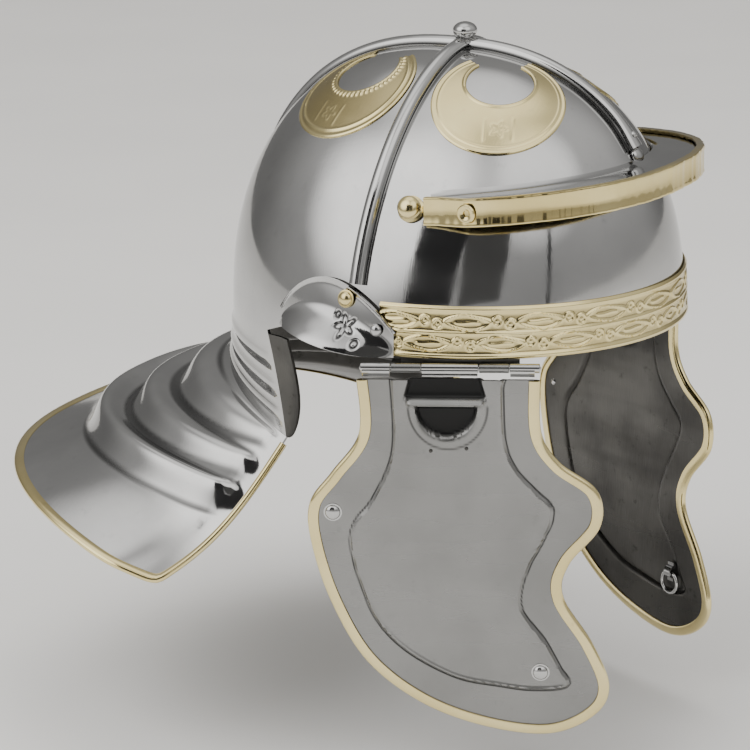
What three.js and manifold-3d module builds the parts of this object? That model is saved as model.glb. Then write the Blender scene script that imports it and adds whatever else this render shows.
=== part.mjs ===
// Roman legionary helmet: a steel bowl with nape and neck guard, crossed ribs, brow peak, brow band,
// ear guards, brass crescents, and two hinged cheek guards with brass bindings.
// Millimetres, +Z up. The wearer faces -Y, so the wearer's right side is at -X.
// The origin is the centre of the head opening, in the plane of the bowl's front rim.

import * as THREE from 'three';
import { mergeVertices } from 'three/addons/utils/BufferGeometryUtils.js';
import Module from 'manifold-3d';

const wasm = await Module();
wasm.setup();

// ---- Driving dimensions -----------------------------------------------------------------------

const GAP = 0.35;               // clearance between pieces that meet
const SHEET = 1.5;              // bowl and cheek plate thickness
const TRIM = 1.2;               // thickness of riveted trim

const BOWL_HALF_LENGTH = 113;
const BOWL_HALF_WIDTH = 98;
const BOWL_HEIGHT = 126;
const FRONT_POWER = 2.45;       // how square the profile is toward the front
const REAR_POWER = 2.3;         // toward the back
const SIDE_POWER = 1.78;        // and toward the sides
const COLUMN_STEP = 6;          // degrees between the bowl's columns
const DOME_ROWS = 10;

const NAPE_HALF_ANGLE = 60;     // degrees each side of the back, where the nape starts
const NAPE_DEPTH_BACK = 26;     // bottom of the nape below the rim, at the back
const NAPE_DEPTH_SIDE = 51;     // and at its two front edges
const NAPE_ROWS = 3;
const EAR_ARCH_FRONT = -14;     // y of the ear cut-out's front end
const EAR_ARCH_RISE = 9;

const GUARD_CENTRE_Y = 80;      // centre of the neck guard's outline
const GUARD_HALF_WIDTH = 151;
const GUARD_REACH = 148;        // from that centre back to the rear edge
const GUARD_POWER = 2.25;
const GUARD_SWEEP = 88;         // degrees of the outline each side of the back
const GUARD_DROP_BACK = 80;     // rear edge below the rim
const GUARD_DROP_SIDE = 112;    // side corners below the rim
const GUARD_ROWS = 14;
const RIDGE_HALF = 0.075;       // half width of a ridge, as a share of the guard's width
const RIDGE_SWELL = 0.7;        // the ridges grow taller toward the back by this share
const RIDGES = [                // place at the front edges, how much further out at the back, height
  [0.06, 0.12, 4.5],
  [0.2, 0.22, 6.5],
  [0.36, 0.28, 8.5],
];

const BINDING_WIDTH = 5;
const BINDING_THICK = 3.4;

const PEAK_HALF_WIDTH = 93;
const PEAK_REACH = 119.5;       // front of the peak ahead of the origin
const PEAK_POWER = 2.4;
const PEAK_PINCH = 9;           // how far the outline draws in toward its two ends
const PEAK_SWEEP = 78;          // degrees each side of the front
const PEAK_ROOT_SHARE = 0.93;   // the plate meets the bowl over this part of the sweep
const PEAK_HEIGHT = 70.2;       // plate height at the sides
const PEAK_RISE = 0.098;        // rise per millimetre forward
const PEAK_SIDE_Y = -22;
const STRIP_HEIGHT = 12;

const BAND_HEIGHT = 24.4;
const BAND_SWEEP = 84;          // degrees each side of the front

const RIB_WIDTH = 8.4;
const RIB_PROUD = 5;
const CROWN_Y = -6;             // where the ribs cross
const RIB_FRONT_Z = 86;         // front foot of the fore and aft rib
const RIB_REAR_Z = 3;           // and its rear foot
const SIDE_RIB_LEAN = 0.075;    // the side ribs run back this much per millimetre out
const SIDE_RIB_END_Z = 30.5;

const CRESCENT_RADIUS = 32.8;
const CRESCENT_HOLE = 16.2;
const CRESCENT_HOLE_SHIFT = 10.5;
const CRESCENT_OPENING = 54;    // degrees between the two blunt horns

const HINGE_X = 92;             // centre of each hinge pin, at either side
const HINGE_Y = -45.5;
const HINGE_Z = -3.6;
const HINGE_YAW = 25;           // degrees that each hinge turns inward toward the front
const HINGE_OUTER = 2.2;
const HINGE_BORE = 1.3;
const PIN_RADIUS = 0.95;
const CHEEK_TILT = 1.7;         // degrees that the plate leans in at the bottom
const CHEEK_BALANCE = -92;      // height of the plate's centre below the pin

const UP = new THREE.Vector3(0, 0, 1);
const rad = THREE.MathUtils.degToRad;

// The unit direction of a run of points at its point i.
const alongAt = (points, i) => {
  const after = points[Math.min(i + 1, points.length - 1)];
  return after.clone().sub(points[Math.max(i - 1, 0)]).normalize();
};

// ---- Materials --------------------------------------------------------------------------------

const finish = (color, roughness, metalness) => () => {
  return new THREE.MeshStandardMaterial({ color, roughness, metalness });
};
const polishedSteel = finish(0xb9bcc0, 0.22, 1);
const dullSteel = finish(0x8d9094, 0.38, 1);
const brass = finish(0xcdb06a, 0.25, 1);

// ---- Mesh helpers -----------------------------------------------------------------------------

const vec = (x, y, z) => new THREE.Vector3(x, y, z);

function indexed(positions, faces) {
  const geometry = new THREE.BufferGeometry();
  geometry.setAttribute('position', new THREE.Float32BufferAttribute(positions, 3));
  geometry.setIndex(faces);
  return geometry;
}

// An open sheet over a grid, with pointAt(u, v) for u and v from 0 to 1.
function gridSheet(columns, rows, pointAt) {
  const positions = [];
  const faces = [];
  for (let i = 0; i <= columns; i++) {
    for (let j = 0; j <= rows; j++) {
      positions.push(...pointAt(i / columns, j / rows).toArray());
    }
  }
  for (let i = 0; i < columns; i++) {
    for (let j = 0; j < rows; j++) {
      const a = i * (rows + 1) + j;
      const b = a + rows + 1;
      faces.push(a, b + 1, b, a, a + 1, b + 1);
    }
  }
  return indexed(positions, faces);
}

// Sheets joined along their shared edges, without the collapsed faces at a pole.
function joinSheets(...sheets) {
  const positions = [];
  const faces = [];
  for (const sheet of sheets) {
    const base = positions.length / 3;
    positions.push(...sheet.attributes.position.array);
    faces.push(...Array.from(sheet.index.array, (i) => i + base));
  }
  const merged = mergeVertices(indexed(positions, faces), 1e-3);
  const whole = [];
  const old = merged.index.array;
  for (let i = 0; i < old.length; i += 3) {
    const [a, b, c] = [old[i], old[i + 1], old[i + 2]];
    if (a !== b && b !== c && c !== a) whole.push(a, b, c);
  }
  merged.setIndex(whole);
  return merged;
}

// A closed solid: the sheet itself, a copy set back behind its normals, and walls along its free edges.
function shell(sheet, thickness) {
  const skin = joinSheets(sheet);
  skin.computeVertexNormals();
  const front = skin.attributes.position;
  const normal = skin.attributes.normal;
  const faces = Array.from(skin.index.array);
  const count = front.count;
  const positions = Array.from(front.array);
  for (let i = 0; i < count; i++) {
    positions.push(
      front.getX(i) - normal.getX(i) * thickness,
      front.getY(i) - normal.getY(i) * thickness,
      front.getZ(i) - normal.getZ(i) * thickness,
    );
  }
  const edges = new Map();
  const solid = [...faces];
  for (let i = 0; i < faces.length; i += 3) {
    const corner = faces.slice(i, i + 3);
    solid.push(corner[0] + count, corner[2] + count, corner[1] + count);
    for (let k = 0; k < 3; k++) {
      const edge = [corner[k], corner[(k + 1) % 3]];
      edges.set(edge.join(','), edge);
    }
  }
  for (const [a, b] of edges.values()) {
    if (!edges.has(b + ',' + a)) solid.push(b, a, a + count, b, a + count, b + count);
  }
  return indexed(positions, solid);
}

// A closed bar: the same section carried along a list of frames { at, side, up }.
function bar(frames, section) {
  const positions = [];
  const faces = [];
  const n = section.length;
  for (const { at, side, up } of frames) {
    for (const [s, u] of section) {
      const corner = at.clone().addScaledVector(side, s).addScaledVector(up, u);
      positions.push(...corner.toArray());
    }
  }
  for (let i = 0; i + 1 < frames.length; i++) {
    for (let k = 0; k < n; k++) {
      const a = i * n + k;
      const b = i * n + ((k + 1) % n);
      faces.push(a, b, b + n, a, b + n, a + n);
    }
  }
  const last = (frames.length - 1) * n;
  for (let k = 1; k + 1 < n; k++) {
    faces.push(0, k + 1, k);
    faces.push(last, last + k, last + k + 1);
  }
  return indexed(positions, faces);
}

const clean = (geometry) => {
  const bare = geometry.clone();
  bare.deleteAttribute('normal');
  bare.deleteAttribute('uv');
  return joinSheets(bare.index ? bare : mergeVertices(bare, 1e-3));
};

function toSolid(geometry) {
  const bare = clean(geometry);
  return new wasm.Manifold(new wasm.Mesh({
    numProp: 3,
    vertProperties: new Float32Array(bare.attributes.position.array),
    triVerts: new Uint32Array(bare.index.array),
  }));
}

function fromSolid(solid) {
  const mesh = solid.getMesh();
  return indexed(Array.from(mesh.vertProperties), Array.from(mesh.triVerts));
}

const union = (...geometries) => {
  return fromSolid(geometries.map(toSolid).reduce((whole, piece) => whole.add(piece)));
};

// ---- The bowl's surface -----------------------------------------------------------------------

// Angles run round the bowl from the front toward the wearer's left.
function powerAt(angle) {
  const forward = Math.cos(angle);
  return SIDE_POWER + ((forward > 0 ? FRONT_POWER : REAR_POWER) - SIDE_POWER) * forward ** 2;
}

// A point of the outer surface at an angle and a height; below the rim the wall is upright.
function wallPoint(angle, z) {
  const p = powerAt(angle);
  const scale = z <= 0 ? 1 : Math.max(0, 1 - (z / BOWL_HEIGHT) ** p) ** (1 / p);
  return vec(BOWL_HALF_WIDTH * scale * Math.sin(angle), -BOWL_HALF_LENGTH * scale * Math.cos(angle), z);
}

// The same surface as a level: below 1 inside the bowl, 1 on it.
function level(point) {
  const across = point.x / BOWL_HALF_WIDTH;
  const along = -point.y / BOWL_HALF_LENGTH;
  const p = powerAt(Math.atan2(across, along));
  return Math.hypot(across, along) ** p + (Math.max(point.z, 0) / BOWL_HEIGHT) ** p;
}

function outward(point) {
  const step = 0.05;
  const beside = (axis, away) => level(point.clone().addScaledVector(axis, away));
  const slope = (axis) => beside(axis, step) - beside(axis, -step);
  return vec(slope(vec(1, 0, 0)), slope(vec(0, 1, 0)), slope(UP)).normalize();
}

const lifted = (point, lift) => point.clone().addScaledVector(outward(point), lift);

// The surface point above (x, y).
function roofPoint(x, y) {
  const angle = Math.atan2(x / BOWL_HALF_WIDTH, -y / BOWL_HALF_LENGTH);
  const p = powerAt(angle);
  const reach = Math.hypot(x / BOWL_HALF_WIDTH, y / BOWL_HALF_LENGTH);
  return vec(x, y, BOWL_HEIGHT * Math.max(0, 1 - reach ** p) ** (1 / p));
}

// The surface point on the line from inside the bowl through a point near its surface.
function snapped(point) {
  const heart = vec(0, 0, 10);
  let near = 0.5;
  let far = 1.6;
  for (let i = 0; i < 40; i++) {
    const middle = (near + far) / 2;
    if (level(heart.clone().lerp(point, middle)) < 1) near = middle;
    else far = middle;
  }
  return heart.lerp(point, near);
}

// ---- Bowl with nape and neck guard ------------------------------------------------------------

const smooth = (low, high, value) => THREE.MathUtils.smoothstep(value, low, high);

// The height of the bowl's edge: the rim, raised over each ear.
function edgeHeight(angle) {
  const y = -BOWL_HALF_LENGTH * Math.cos(angle);
  const napeStart = BOWL_HALF_LENGTH * Math.cos(rad(NAPE_HALF_ANGLE));
  const across = (y - EAR_ARCH_FRONT) / (napeStart - EAR_ARCH_FRONT);
  return across > 0 && across < 1 ? EAR_ARCH_RISE * Math.sin(Math.PI * across) : 0;
}

function domeSheet() {
  const columns = 360 / COLUMN_STEP;
  return gridSheet(columns, DOME_ROWS, (u, v) => {
    const angle = rad(360 * u);
    const p = powerAt(angle);
    const low = Math.asin((edgeHeight(angle) / BOWL_HEIGHT) ** (p / 2));
    const tilt = Math.PI / 2 + (low - Math.PI / 2) * v;
    return v === 0 ? vec(0, 0, BOWL_HEIGHT) : wallPoint(angle, BOWL_HEIGHT * Math.sin(tilt) ** (2 / p));
  });
}

// side runs from -1 to 1 across the back; depth of the nape's lower edge there.
const napeDepth = (side) => NAPE_DEPTH_BACK + (NAPE_DEPTH_SIDE - NAPE_DEPTH_BACK) * side ** 2;

function napePoint(side, down) {
  const angle = Math.PI + rad(NAPE_HALF_ANGLE) * side;
  const flare = 3 * down ** 2;
  const foot = wallPoint(angle, -napeDepth(side) * down);
  foot.x *= 1 + flare / BOWL_HALF_WIDTH;
  foot.y *= 1 + flare / BOWL_HALF_LENGTH;
  foot.y -= 12 * Math.abs(side) ** 4 * down;
  return foot;
}

// The outline that the neck guard's plate reaches, less what the binding covers.
function guardRim(side, inset) {
  const angle = rad(GUARD_SWEEP) * side;
  const shrink = 6 * smooth(0.86, 1, Math.abs(side)) ** 2;
  const across = Math.abs(Math.sin(angle)) ** (2 / GUARD_POWER) * Math.sign(side);
  const back = Math.cos(angle) ** (2 / GUARD_POWER);
  return vec(
    -(GUARD_HALF_WIDTH - inset - shrink) * across,
    GUARD_CENTRE_Y + (GUARD_REACH - inset) * back,
    -GUARD_DROP_BACK - (GUARD_DROP_SIDE - GUARD_DROP_BACK) * Math.abs(side) ** 3,
  );
}

// The embossed ridges follow the nape, spread toward the back and fade at the guard's two front edges.
function ridge(side, out) {
  const middle = 1 - side ** 2;
  const fade = smooth(0, 0.05, out) * (1 - smooth(0.86, 1, Math.abs(side)));
  const rise = RIDGES.reduce((total, [place, spread, height]) => {
    return total + height * Math.exp(-(((out - place - spread * middle) / RIDGE_HALF) ** 2));
  }, 0);
  return rise * fade * (1 + RIDGE_SWELL * (middle - 0.3));
}

function guardPoint(side, out, inset) {
  const root = napePoint(side, 1);
  const rim = guardRim(side, inset);
  const point = root.clone().lerp(rim, out);
  point.z = root.z + (rim.z - root.z) * (0.15 * Math.sin(Math.PI * out) + out);
  point.z += ridge(side, out);
  return point;
}

const GUARD_INSET = BINDING_WIDTH + GAP;

function helmetBowl() {
  const columns = (2 * NAPE_HALF_ANGLE) / COLUMN_STEP;
  const nape = gridSheet(columns, NAPE_ROWS, (u, v) => napePoint(2 * u - 1, v));
  const guard = gridSheet(columns, GUARD_ROWS, (u, v) => guardPoint(2 * u - 1, v, GUARD_INSET));
  return shell(joinSheets(domeSheet(), nape, guard), SHEET);
}

// A brass channel along the neck guard's two front edges and its outer edge.
function neckGuardBinding() {
  const path = [];
  const steps = GUARD_ROWS;
  for (let i = 1; i < steps; i++) path.push([-1, i / steps]);
  const around = (2 * NAPE_HALF_ANGLE) / COLUMN_STEP;
  for (let i = 0; i <= around; i++) path.push([(2 * i) / around - 1, 1]);
  for (let i = steps - 1; i > 0; i--) path.push([1, i / steps]);
  const points = path.map(([side, out]) => guardPoint(side, out, GUARD_INSET));
  const middle = path.map(([side, out]) => guardPoint(side * 0.97, out * 0.97, GUARD_INSET));
  const frames = points.map((at, i) => {
    const along = alongAt(points, i);
    const side = at.clone().sub(middle[i]);
    side.addScaledVector(along, -side.dot(along)).normalize();
    return { at, side, up: along.clone().cross(side).normalize() };
  });
  const near = GAP + 0.5;
  const far = near + BINDING_WIDTH;
  const low = -(SHEET + BINDING_THICK) / 2;
  const high = low + BINDING_THICK;
  return bar(frames, [[near, low], [far, low], [far, high], [near, high]]);
}

// ---- Peak -------------------------------------------------------------------------------------

const peakHeight = (y) => PEAK_HEIGHT + PEAK_RISE * (PEAK_SIDE_Y - y);

function peakRim(angle, inset) {
  const across = (PEAK_HALF_WIDTH - inset) * Math.abs(Math.sin(angle)) ** (2 / PEAK_POWER);
  const y = -(PEAK_REACH - inset) * Math.cos(angle) ** (2 / PEAK_POWER);
  const pinch = PEAK_PINCH * smooth(PEAK_SIDE_Y - 38, PEAK_SIDE_Y - 3, y);
  return vec((across - pinch) * Math.sign(angle), y, peakHeight(y));
}

// Where the peak's plate meets the bowl.
function peakRoot(angle) {
  let point = wallPoint(angle, PEAK_HEIGHT);
  for (let i = 0; i < 4; i++) point = wallPoint(angle, peakHeight(point.y));
  return lifted(point, GAP + 0.4);
}

const PEAK_STRIP_INSET = TRIM + GAP;

function browPeak() {
  const sweep = rad(PEAK_SWEEP);
  return shell(gridSheet(32, 2, (u, v) => {
    const angle = sweep * (2 * u - 1);
    return peakRoot(angle * PEAK_ROOT_SHARE).lerp(peakRim(angle, PEAK_STRIP_INSET), v);
  }), TRIM);
}

function peakStrip() {
  const sweep = rad(PEAK_SWEEP + 2);
  return shell(gridSheet(34, 1, (u, v) => {
    const point = peakRim(sweep * (2 * u - 1), 0);
    point.z += 1 - STRIP_HEIGHT * v;
    return point;
  }), TRIM);
}

// A solid turned round its own axis from [radius, height] points.
function turned(profile, segments) {
  return clean(new THREE.LatheGeometry(profile.map(([x, y]) => new THREE.Vector2(x, y)), segments));
}

// A low domed head on a short cylinder, standing along +Z from its base.
function domeHead(radius, height, skirt = 0.25) {
  const profile = [new THREE.Vector2(0, 0), new THREE.Vector2(radius, 0)];
  const steps = 3;
  for (let i = 0; i < steps; i++) {
    const turn = (Math.PI / 2) * (i / steps);
    const level = height * (skirt + (1 - skirt) * Math.sin(turn));
    profile.push(new THREE.Vector2(radius * Math.cos(turn), level));
  }
  profile.push(new THREE.Vector2(0, height));
  return clean(new THREE.LatheGeometry(profile, 10).rotateX(Math.PI / 2));
}

function ringHead(radius, hole, height) {
  const shoulder = height * 0.6;
  return turned([
    [hole, 0], [radius, 0], [radius, shoulder], [(radius + hole) / 2, height], [hole, shoulder], [hole, 0],
  ], 14).rotateX(Math.PI / 2);
}

// ---- Brow band, ribs and crescents ------------------------------------------------------------

function browBand() {
  const sweep = rad(BAND_SWEEP);
  return shell(gridSheet(2 * BAND_SWEEP / COLUMN_STEP, 2, (u, v) => {
    return lifted(wallPoint(sweep * (2 * u - 1), BAND_HEIGHT - (BAND_HEIGHT - 0.2) * v), GAP + TRIM);
  }), TRIM);
}

// Across and up, as shares of the rib's width and height.
const RIB_SECTION = [
  [-0.5, 0.0], [0.5, 0.0], [0.5, 0.35], [0.32, 0.82], [0, 1], [-0.32, 0.82], [-0.5, 0.35],
].map(([s, u]) => [s * RIB_WIDTH, u * RIB_PROUD]);

function rib(points) {
  const frames = points.map((point, i) => {
    const along = alongAt(points, i);
    const up = outward(point);
    const side = up.clone().cross(along).normalize();
    return { at: lifted(point, GAP + 0.15), side: side.negate(), up };
  });
  return bar(frames, RIB_SECTION.slice().reverse());
}

function foreAftRib() {
  const points = [];
  const shoulder = BOWL_HEIGHT - 4;
  const [frontSteps, roofSteps, rearSteps] = [13, 6, 16];
  for (let i = 0; i <= frontSteps; i++) {
    const climb = Math.sin((Math.PI / 2) * (i / frontSteps));
    points.push(wallPoint(0, RIB_FRONT_Z + (shoulder - RIB_FRONT_Z) * climb));
  }
  const start = points[points.length - 1].y;
  for (let i = 1; i < roofSteps; i++) points.push(roofPoint(0, start * (1 - (2 * i) / roofSteps)));
  for (let i = 0; i <= rearSteps; i++) {
    const climb = Math.cos((Math.PI / 2) * (i / rearSteps));
    points.push(wallPoint(Math.PI, RIB_REAR_Z + (shoulder - RIB_REAR_Z) * climb));
  }
  return rib(points);
}

function sideRib() {
  const points = [];
  const steps = 16;
  const start = RIB_WIDTH / 2 + 0.5;
  const end = 94.6;
  for (let i = 0; i <= steps; i++) {
    const out = start + (end - start) * Math.sin((Math.PI / 2) * (i / steps));
    points.push(roofPoint(-out, CROWN_Y + SIDE_RIB_LEAN * out));
  }
  return rib(points.filter((point) => point.z > SIDE_RIB_END_Z));
}

// A disc with a round bite toward the crown, laid on the bowl round a centre.
function crescent(centre) {
  const middle = snapped(centre);
  const up = outward(middle);
  const across = UP.clone().cross(up).normalize();
  const crownward = up.clone().cross(across).normalize();
  const columns = 28;
  return shell(gridSheet(columns, 2, (u, v) => {
    const turn = rad(90 - CRESCENT_OPENING / 2 - (360 - CRESCENT_OPENING) * u);
    const outer = [CRESCENT_RADIUS * Math.cos(turn), CRESCENT_RADIUS * Math.sin(turn)];
    const aim = Math.atan2(outer[1] - CRESCENT_HOLE_SHIFT, outer[0]);
    const inner = [CRESCENT_HOLE * Math.cos(aim), CRESCENT_HOLE_SHIFT + CRESCENT_HOLE * Math.sin(aim)];
    const [a, b] = [0, 1].map((k) => outer[k] + (inner[k] - outer[k]) * v);
    const spot = middle.clone().addScaledVector(across, a).addScaledVector(crownward, b);
    return lifted(snapped(spot), GAP + 1);
  }), 0.9);
}

// ---- Ear guards -------------------------------------------------------------------------------

const EAR_REAR_Y = 44;
const EAR_FRONT_Y = -21;
const EAR_TOP = 32;
const EAR_ARCH_LEAN = 0.78;     // below 1, the arch's top stands behind the middle
const EAR_LIP = 13;             // how far the lip stands out from the bowl

// along runs from the rear foot to the front foot, down from the top edge to the lip.
function earPoint(along, down) {
  const y = EAR_REAR_Y + (EAR_FRONT_Y - EAR_REAR_Y) * along;
  const angle = -Math.acos(THREE.MathUtils.clamp(-y / BOWL_HALF_LENGTH, -1, 1));
  const top = 8 + (EAR_TOP - 8) * Math.sin(Math.PI * along ** EAR_ARCH_LEAN) ** 0.7;
  const lip = 7 - 7 * smooth(0.1, 0.9, along);
  const z = top + (lip - top) * down;
  const out = EAR_LIP * Math.sin(Math.PI * along ** 0.8) ** 1.2 * down ** 2.2;
  return lifted(wallPoint(angle, z), 2 + TRIM + out);
}

function earGuard() {
  return shell(gridSheet(14, 4, (u, v) => earPoint(0.02 + 0.96 * u, v)), TRIM);
}

// ---- Cheek guards -----------------------------------------------------------------------------

// The plate's outline in its own plane, forward and up from the middle of the hinge pin.
const CHEEK_OUTLINE = [
  [-42.5, -5], [-42, -31], [-55, -50], [-65.5, -65], [-65.5, -84], [-57, -114], [-41, -144],
  [-16, -165], [14, -177], [45, -180.5], [66, -171], [73, -156], [65, -134], [51.5, -111],
  [54, -95], [68.5, -76], [67, -58], [50, -44.5], [41.5, -30], [41, -5],
];

function cheekEdge(inset) {
  const corner = (list) => new THREE.SplineCurve(list.map(([x, y]) => new THREE.Vector2(x, y)));
  const points = corner(CHEEK_OUTLINE).getSpacedPoints(56);
  return points.map((point, i) => {
    const along = alongAt(points, i);
    return new THREE.Vector2(point.x - along.y * inset, point.y + along.x * inset);
  });
}

// Tilts a piece of the cheek guard about its balance line, so that it hangs level under the pin.
function hung(geometry) {
  geometry.translate(0, -CHEEK_BALANCE, 0);
  geometry.rotateX(rad(CHEEK_TILT));
  return geometry.translate(0, CHEEK_BALANCE, 0);
}

function slab(points, thickness) {
  const options = { depth: thickness, bevelEnabled: false };
  return clean(new THREE.ExtrudeGeometry(new THREE.Shape(points), options)).translate(0, 0, -thickness / 2);
}

const KNUCKLES = [[-41, -27.3], [-27, -13.3], [-13, 13], [13.3, 27], [27.3, 41]];
const isFixed = (index) => index % 2 === 1;

function knuckle([start, end]) {
  const length = end - start;
  return turned([
    [HINGE_BORE, 0], [HINGE_OUTER, 0], [HINGE_OUTER, length], [HINGE_BORE, length], [HINGE_BORE, 0],
  ], 10).rotateZ(-Math.PI / 2).translate(start, 0, 0);
}

function block(low, high) {
  const size = high.map((value, k) => value - low[k]);
  const middle = high.map((value, k) => (value + low[k]) / 2);
  return new THREE.BoxGeometry(...size).translate(...middle);
}

// The plate with its top edge rolled round the pin in three knuckles.
function cheekPlate() {
  const plate = hung(slab(cheekEdge(BINDING_WIDTH + GAP), SHEET));
  const moving = KNUCKLES.filter((span, i) => !isFixed(i));
  const rolls = moving.flatMap((span) => [
    knuckle(span),
    block([Math.max(span[0], -36.5), -7, 1.5], [Math.min(span[1], 35.5), -0.4, 2.6]),
  ]);
  return union(plate, ...rolls);
}

function cheekBinding() {
  const outer = cheekEdge(0);
  const inner = cheekEdge(BINDING_WIDTH).reverse();
  return hung(slab([...outer, ...inner], BINDING_THICK));
}

// A leaf inside the bowl, with a foot under the rim to each of its two knuckles.
function hingeLeaf(placeInverse) {
  const start = Math.atan2(-68 / BOWL_HALF_WIDTH, 66 / BOWL_HALF_LENGTH);
  const end = Math.atan2(-96 / BOWL_HALF_WIDTH, 22 / BOWL_HALF_LENGTH);
  const leaf = shell(gridSheet(8, 2, (u, v) => {
    return lifted(wallPoint(end + (start - end) * u, 16 - 19.4 * v), -(SHEET + GAP + 0.2));
  }), TRIM).applyMatrix4(placeInverse);
  const feet = KNUCKLES.filter((span, i) => isFixed(i)).flatMap((span) => [
    knuckle(span),
    block([span[0], -0.2, -11.5], [span[1], 1.1, -1.6]),
  ]);
  return union(leaf, ...feet);
}

function hingePin() {
  return new THREE.CylinderGeometry(PIN_RADIUS, PIN_RADIUS, 83, 10).rotateZ(Math.PI / 2);
}

// A small wire ring standing on the inside of the plate, near the chin.
function tieRing() {
  return clean(new THREE.TorusGeometry(6, 1.1, 5, 14));
}

// ---- Assembly ---------------------------------------------------------------------------------

const helmet = new THREE.Group();

function add(parent, name, geometry, material) {
  const mesh = new THREE.Mesh(geometry, material());
  mesh.name = name;
  parent.add(mesh);
  return mesh;
}

// Turns a piece that stands along +Z to stand out along a direction, at a place.
function stand(mesh, at, direction) {
  mesh.position.copy(at);
  mesh.quaternion.setFromUnitVectors(UP, direction);
}

function addHead(parent, name, geometry, material, at, lift) {
  stand(add(parent, name, geometry, material), lifted(at, lift), outward(at));
}

add(helmet, 'helmet_bowl', helmetBowl(), polishedSteel);
add(helmet, 'neck_guard_binding', neckGuardBinding(), brass);
add(helmet, 'brow_peak', browPeak(), polishedSteel);
add(helmet, 'peak_strip', peakStrip(), brass);
add(helmet, 'brow_band', browBand(), brass);
add(helmet, 'fore_aft_rib', foreAftRib(), polishedSteel);
addHead(helmet, 'crown_rivet', domeHead(6, 6.5, 0.4), polishedSteel, roofPoint(0, CROWN_Y), RIB_PROUD + 1);
addHead(helmet, 'rib_front_rivet', domeHead(4.5, 3), polishedSteel, wallPoint(0, 81.5), GAP + 0.2);

// One side of everything that comes in pairs, modelled on the wearer's right.
function sidePieces(parent, side) {
  add(parent, 'side_rib_' + side, sideRib(), polishedSteel);
  add(parent, 'crescent_front_' + side, crescent(vec(-33.6, CROWN_Y - 36, 111)), brass);
  add(parent, 'crescent_rear_' + side, crescent(vec(-33.6, CROWN_Y + 41.5, 110)), brass);
  add(parent, 'ear_guard_' + side, earGuard(), dullSteel);
  const onEarGuard = 2 + TRIM + GAP;
  const riser = (y, z) => wallPoint(-Math.acos(-y / BOWL_HALF_LENGTH), z);
  addHead(parent, 'ear_guard_top_rivet_' + side, domeHead(3.5, 2.6), brass, riser(5, 24), onEarGuard + 0.9);
  const lowHead = domeHead(2.8, 2.1);
  addHead(parent, 'ear_guard_front_rivet_' + side, lowHead, polishedSteel, riser(-11.5, 11.8), onEarGuard + 0.9);
  const bossAt = wallPoint(-rad(78), 65);
  addHead(parent, 'peak_boss_' + side, domeHead(6.2, 7), brass, bossAt, GAP + 0.2);
  const ringAngle = -rad(PEAK_SWEEP - 9.5);
  const ring = peakRim(ringAngle, 0);
  const beside = peakRim(ringAngle + 0.02, 0);
  const facing = beside.sub(ring).cross(UP).setZ(0).normalize();
  ring.z += 1 - STRIP_HEIGHT / 2;
  const ringMesh = add(parent, 'peak_ring_rivet_' + side, ringHead(4.4, 2, 1.4), brass);
  stand(ringMesh, ring.addScaledVector(facing, GAP + 0.1), facing);

  const hinge = new THREE.Group();
  const yaw = rad(HINGE_YAW);
  const forward = vec(Math.sin(yaw), -Math.cos(yaw), 0);
  hinge.matrixAutoUpdate = false;
  hinge.matrix.makeBasis(forward, UP, forward.clone().cross(UP)).setPosition(-HINGE_X, HINGE_Y, HINGE_Z);
  parent.add(hinge);
  add(hinge, 'cheek_hinge_leaf_' + side, hingeLeaf(hinge.matrix.clone().invert()), dullSteel);
  add(hinge, 'cheek_hinge_pin_' + side, hingePin(), dullSteel);
  add(hinge, 'cheek_plate_' + side, cheekPlate(), polishedSteel);
  add(hinge, 'cheek_binding_' + side, cheekBinding(), brass);
  const outerFace = SHEET / 2 + GAP;
  const rearHead = domeHead(3.6, 2.4).translate(-55, -69.5, outerFace);
  const chinHead = domeHead(3.6, 2.4).translate(41, -148.5, outerFace);
  add(hinge, 'cheek_rear_rivet_' + side, hung(rearHead), polishedSteel);
  add(hinge, 'cheek_chin_rivet_' + side, hung(chinHead), polishedSteel);
  add(hinge, 'tie_ring_' + side, hung(tieRing().translate(44, -152, -outerFace - 1.2)), dullSteel);
}

sidePieces(helmet, 'right');
const mirrored = new THREE.Group();
mirrored.scale.x = -1;
sidePieces(mirrored, 'left');
helmet.add(mirrored);

export default helmet;
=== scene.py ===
"""The looks of a Roman legionary helmet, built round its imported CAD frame.

Shapes are worked out in millimetres and turned into metres when a mesh is made.
The wearer faces -Y, the wearer's right is at -X, and the origin is the centre of the head opening.
"""

import math

import bpy
import numpy as np
from mathutils import Matrix, Vector


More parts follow.
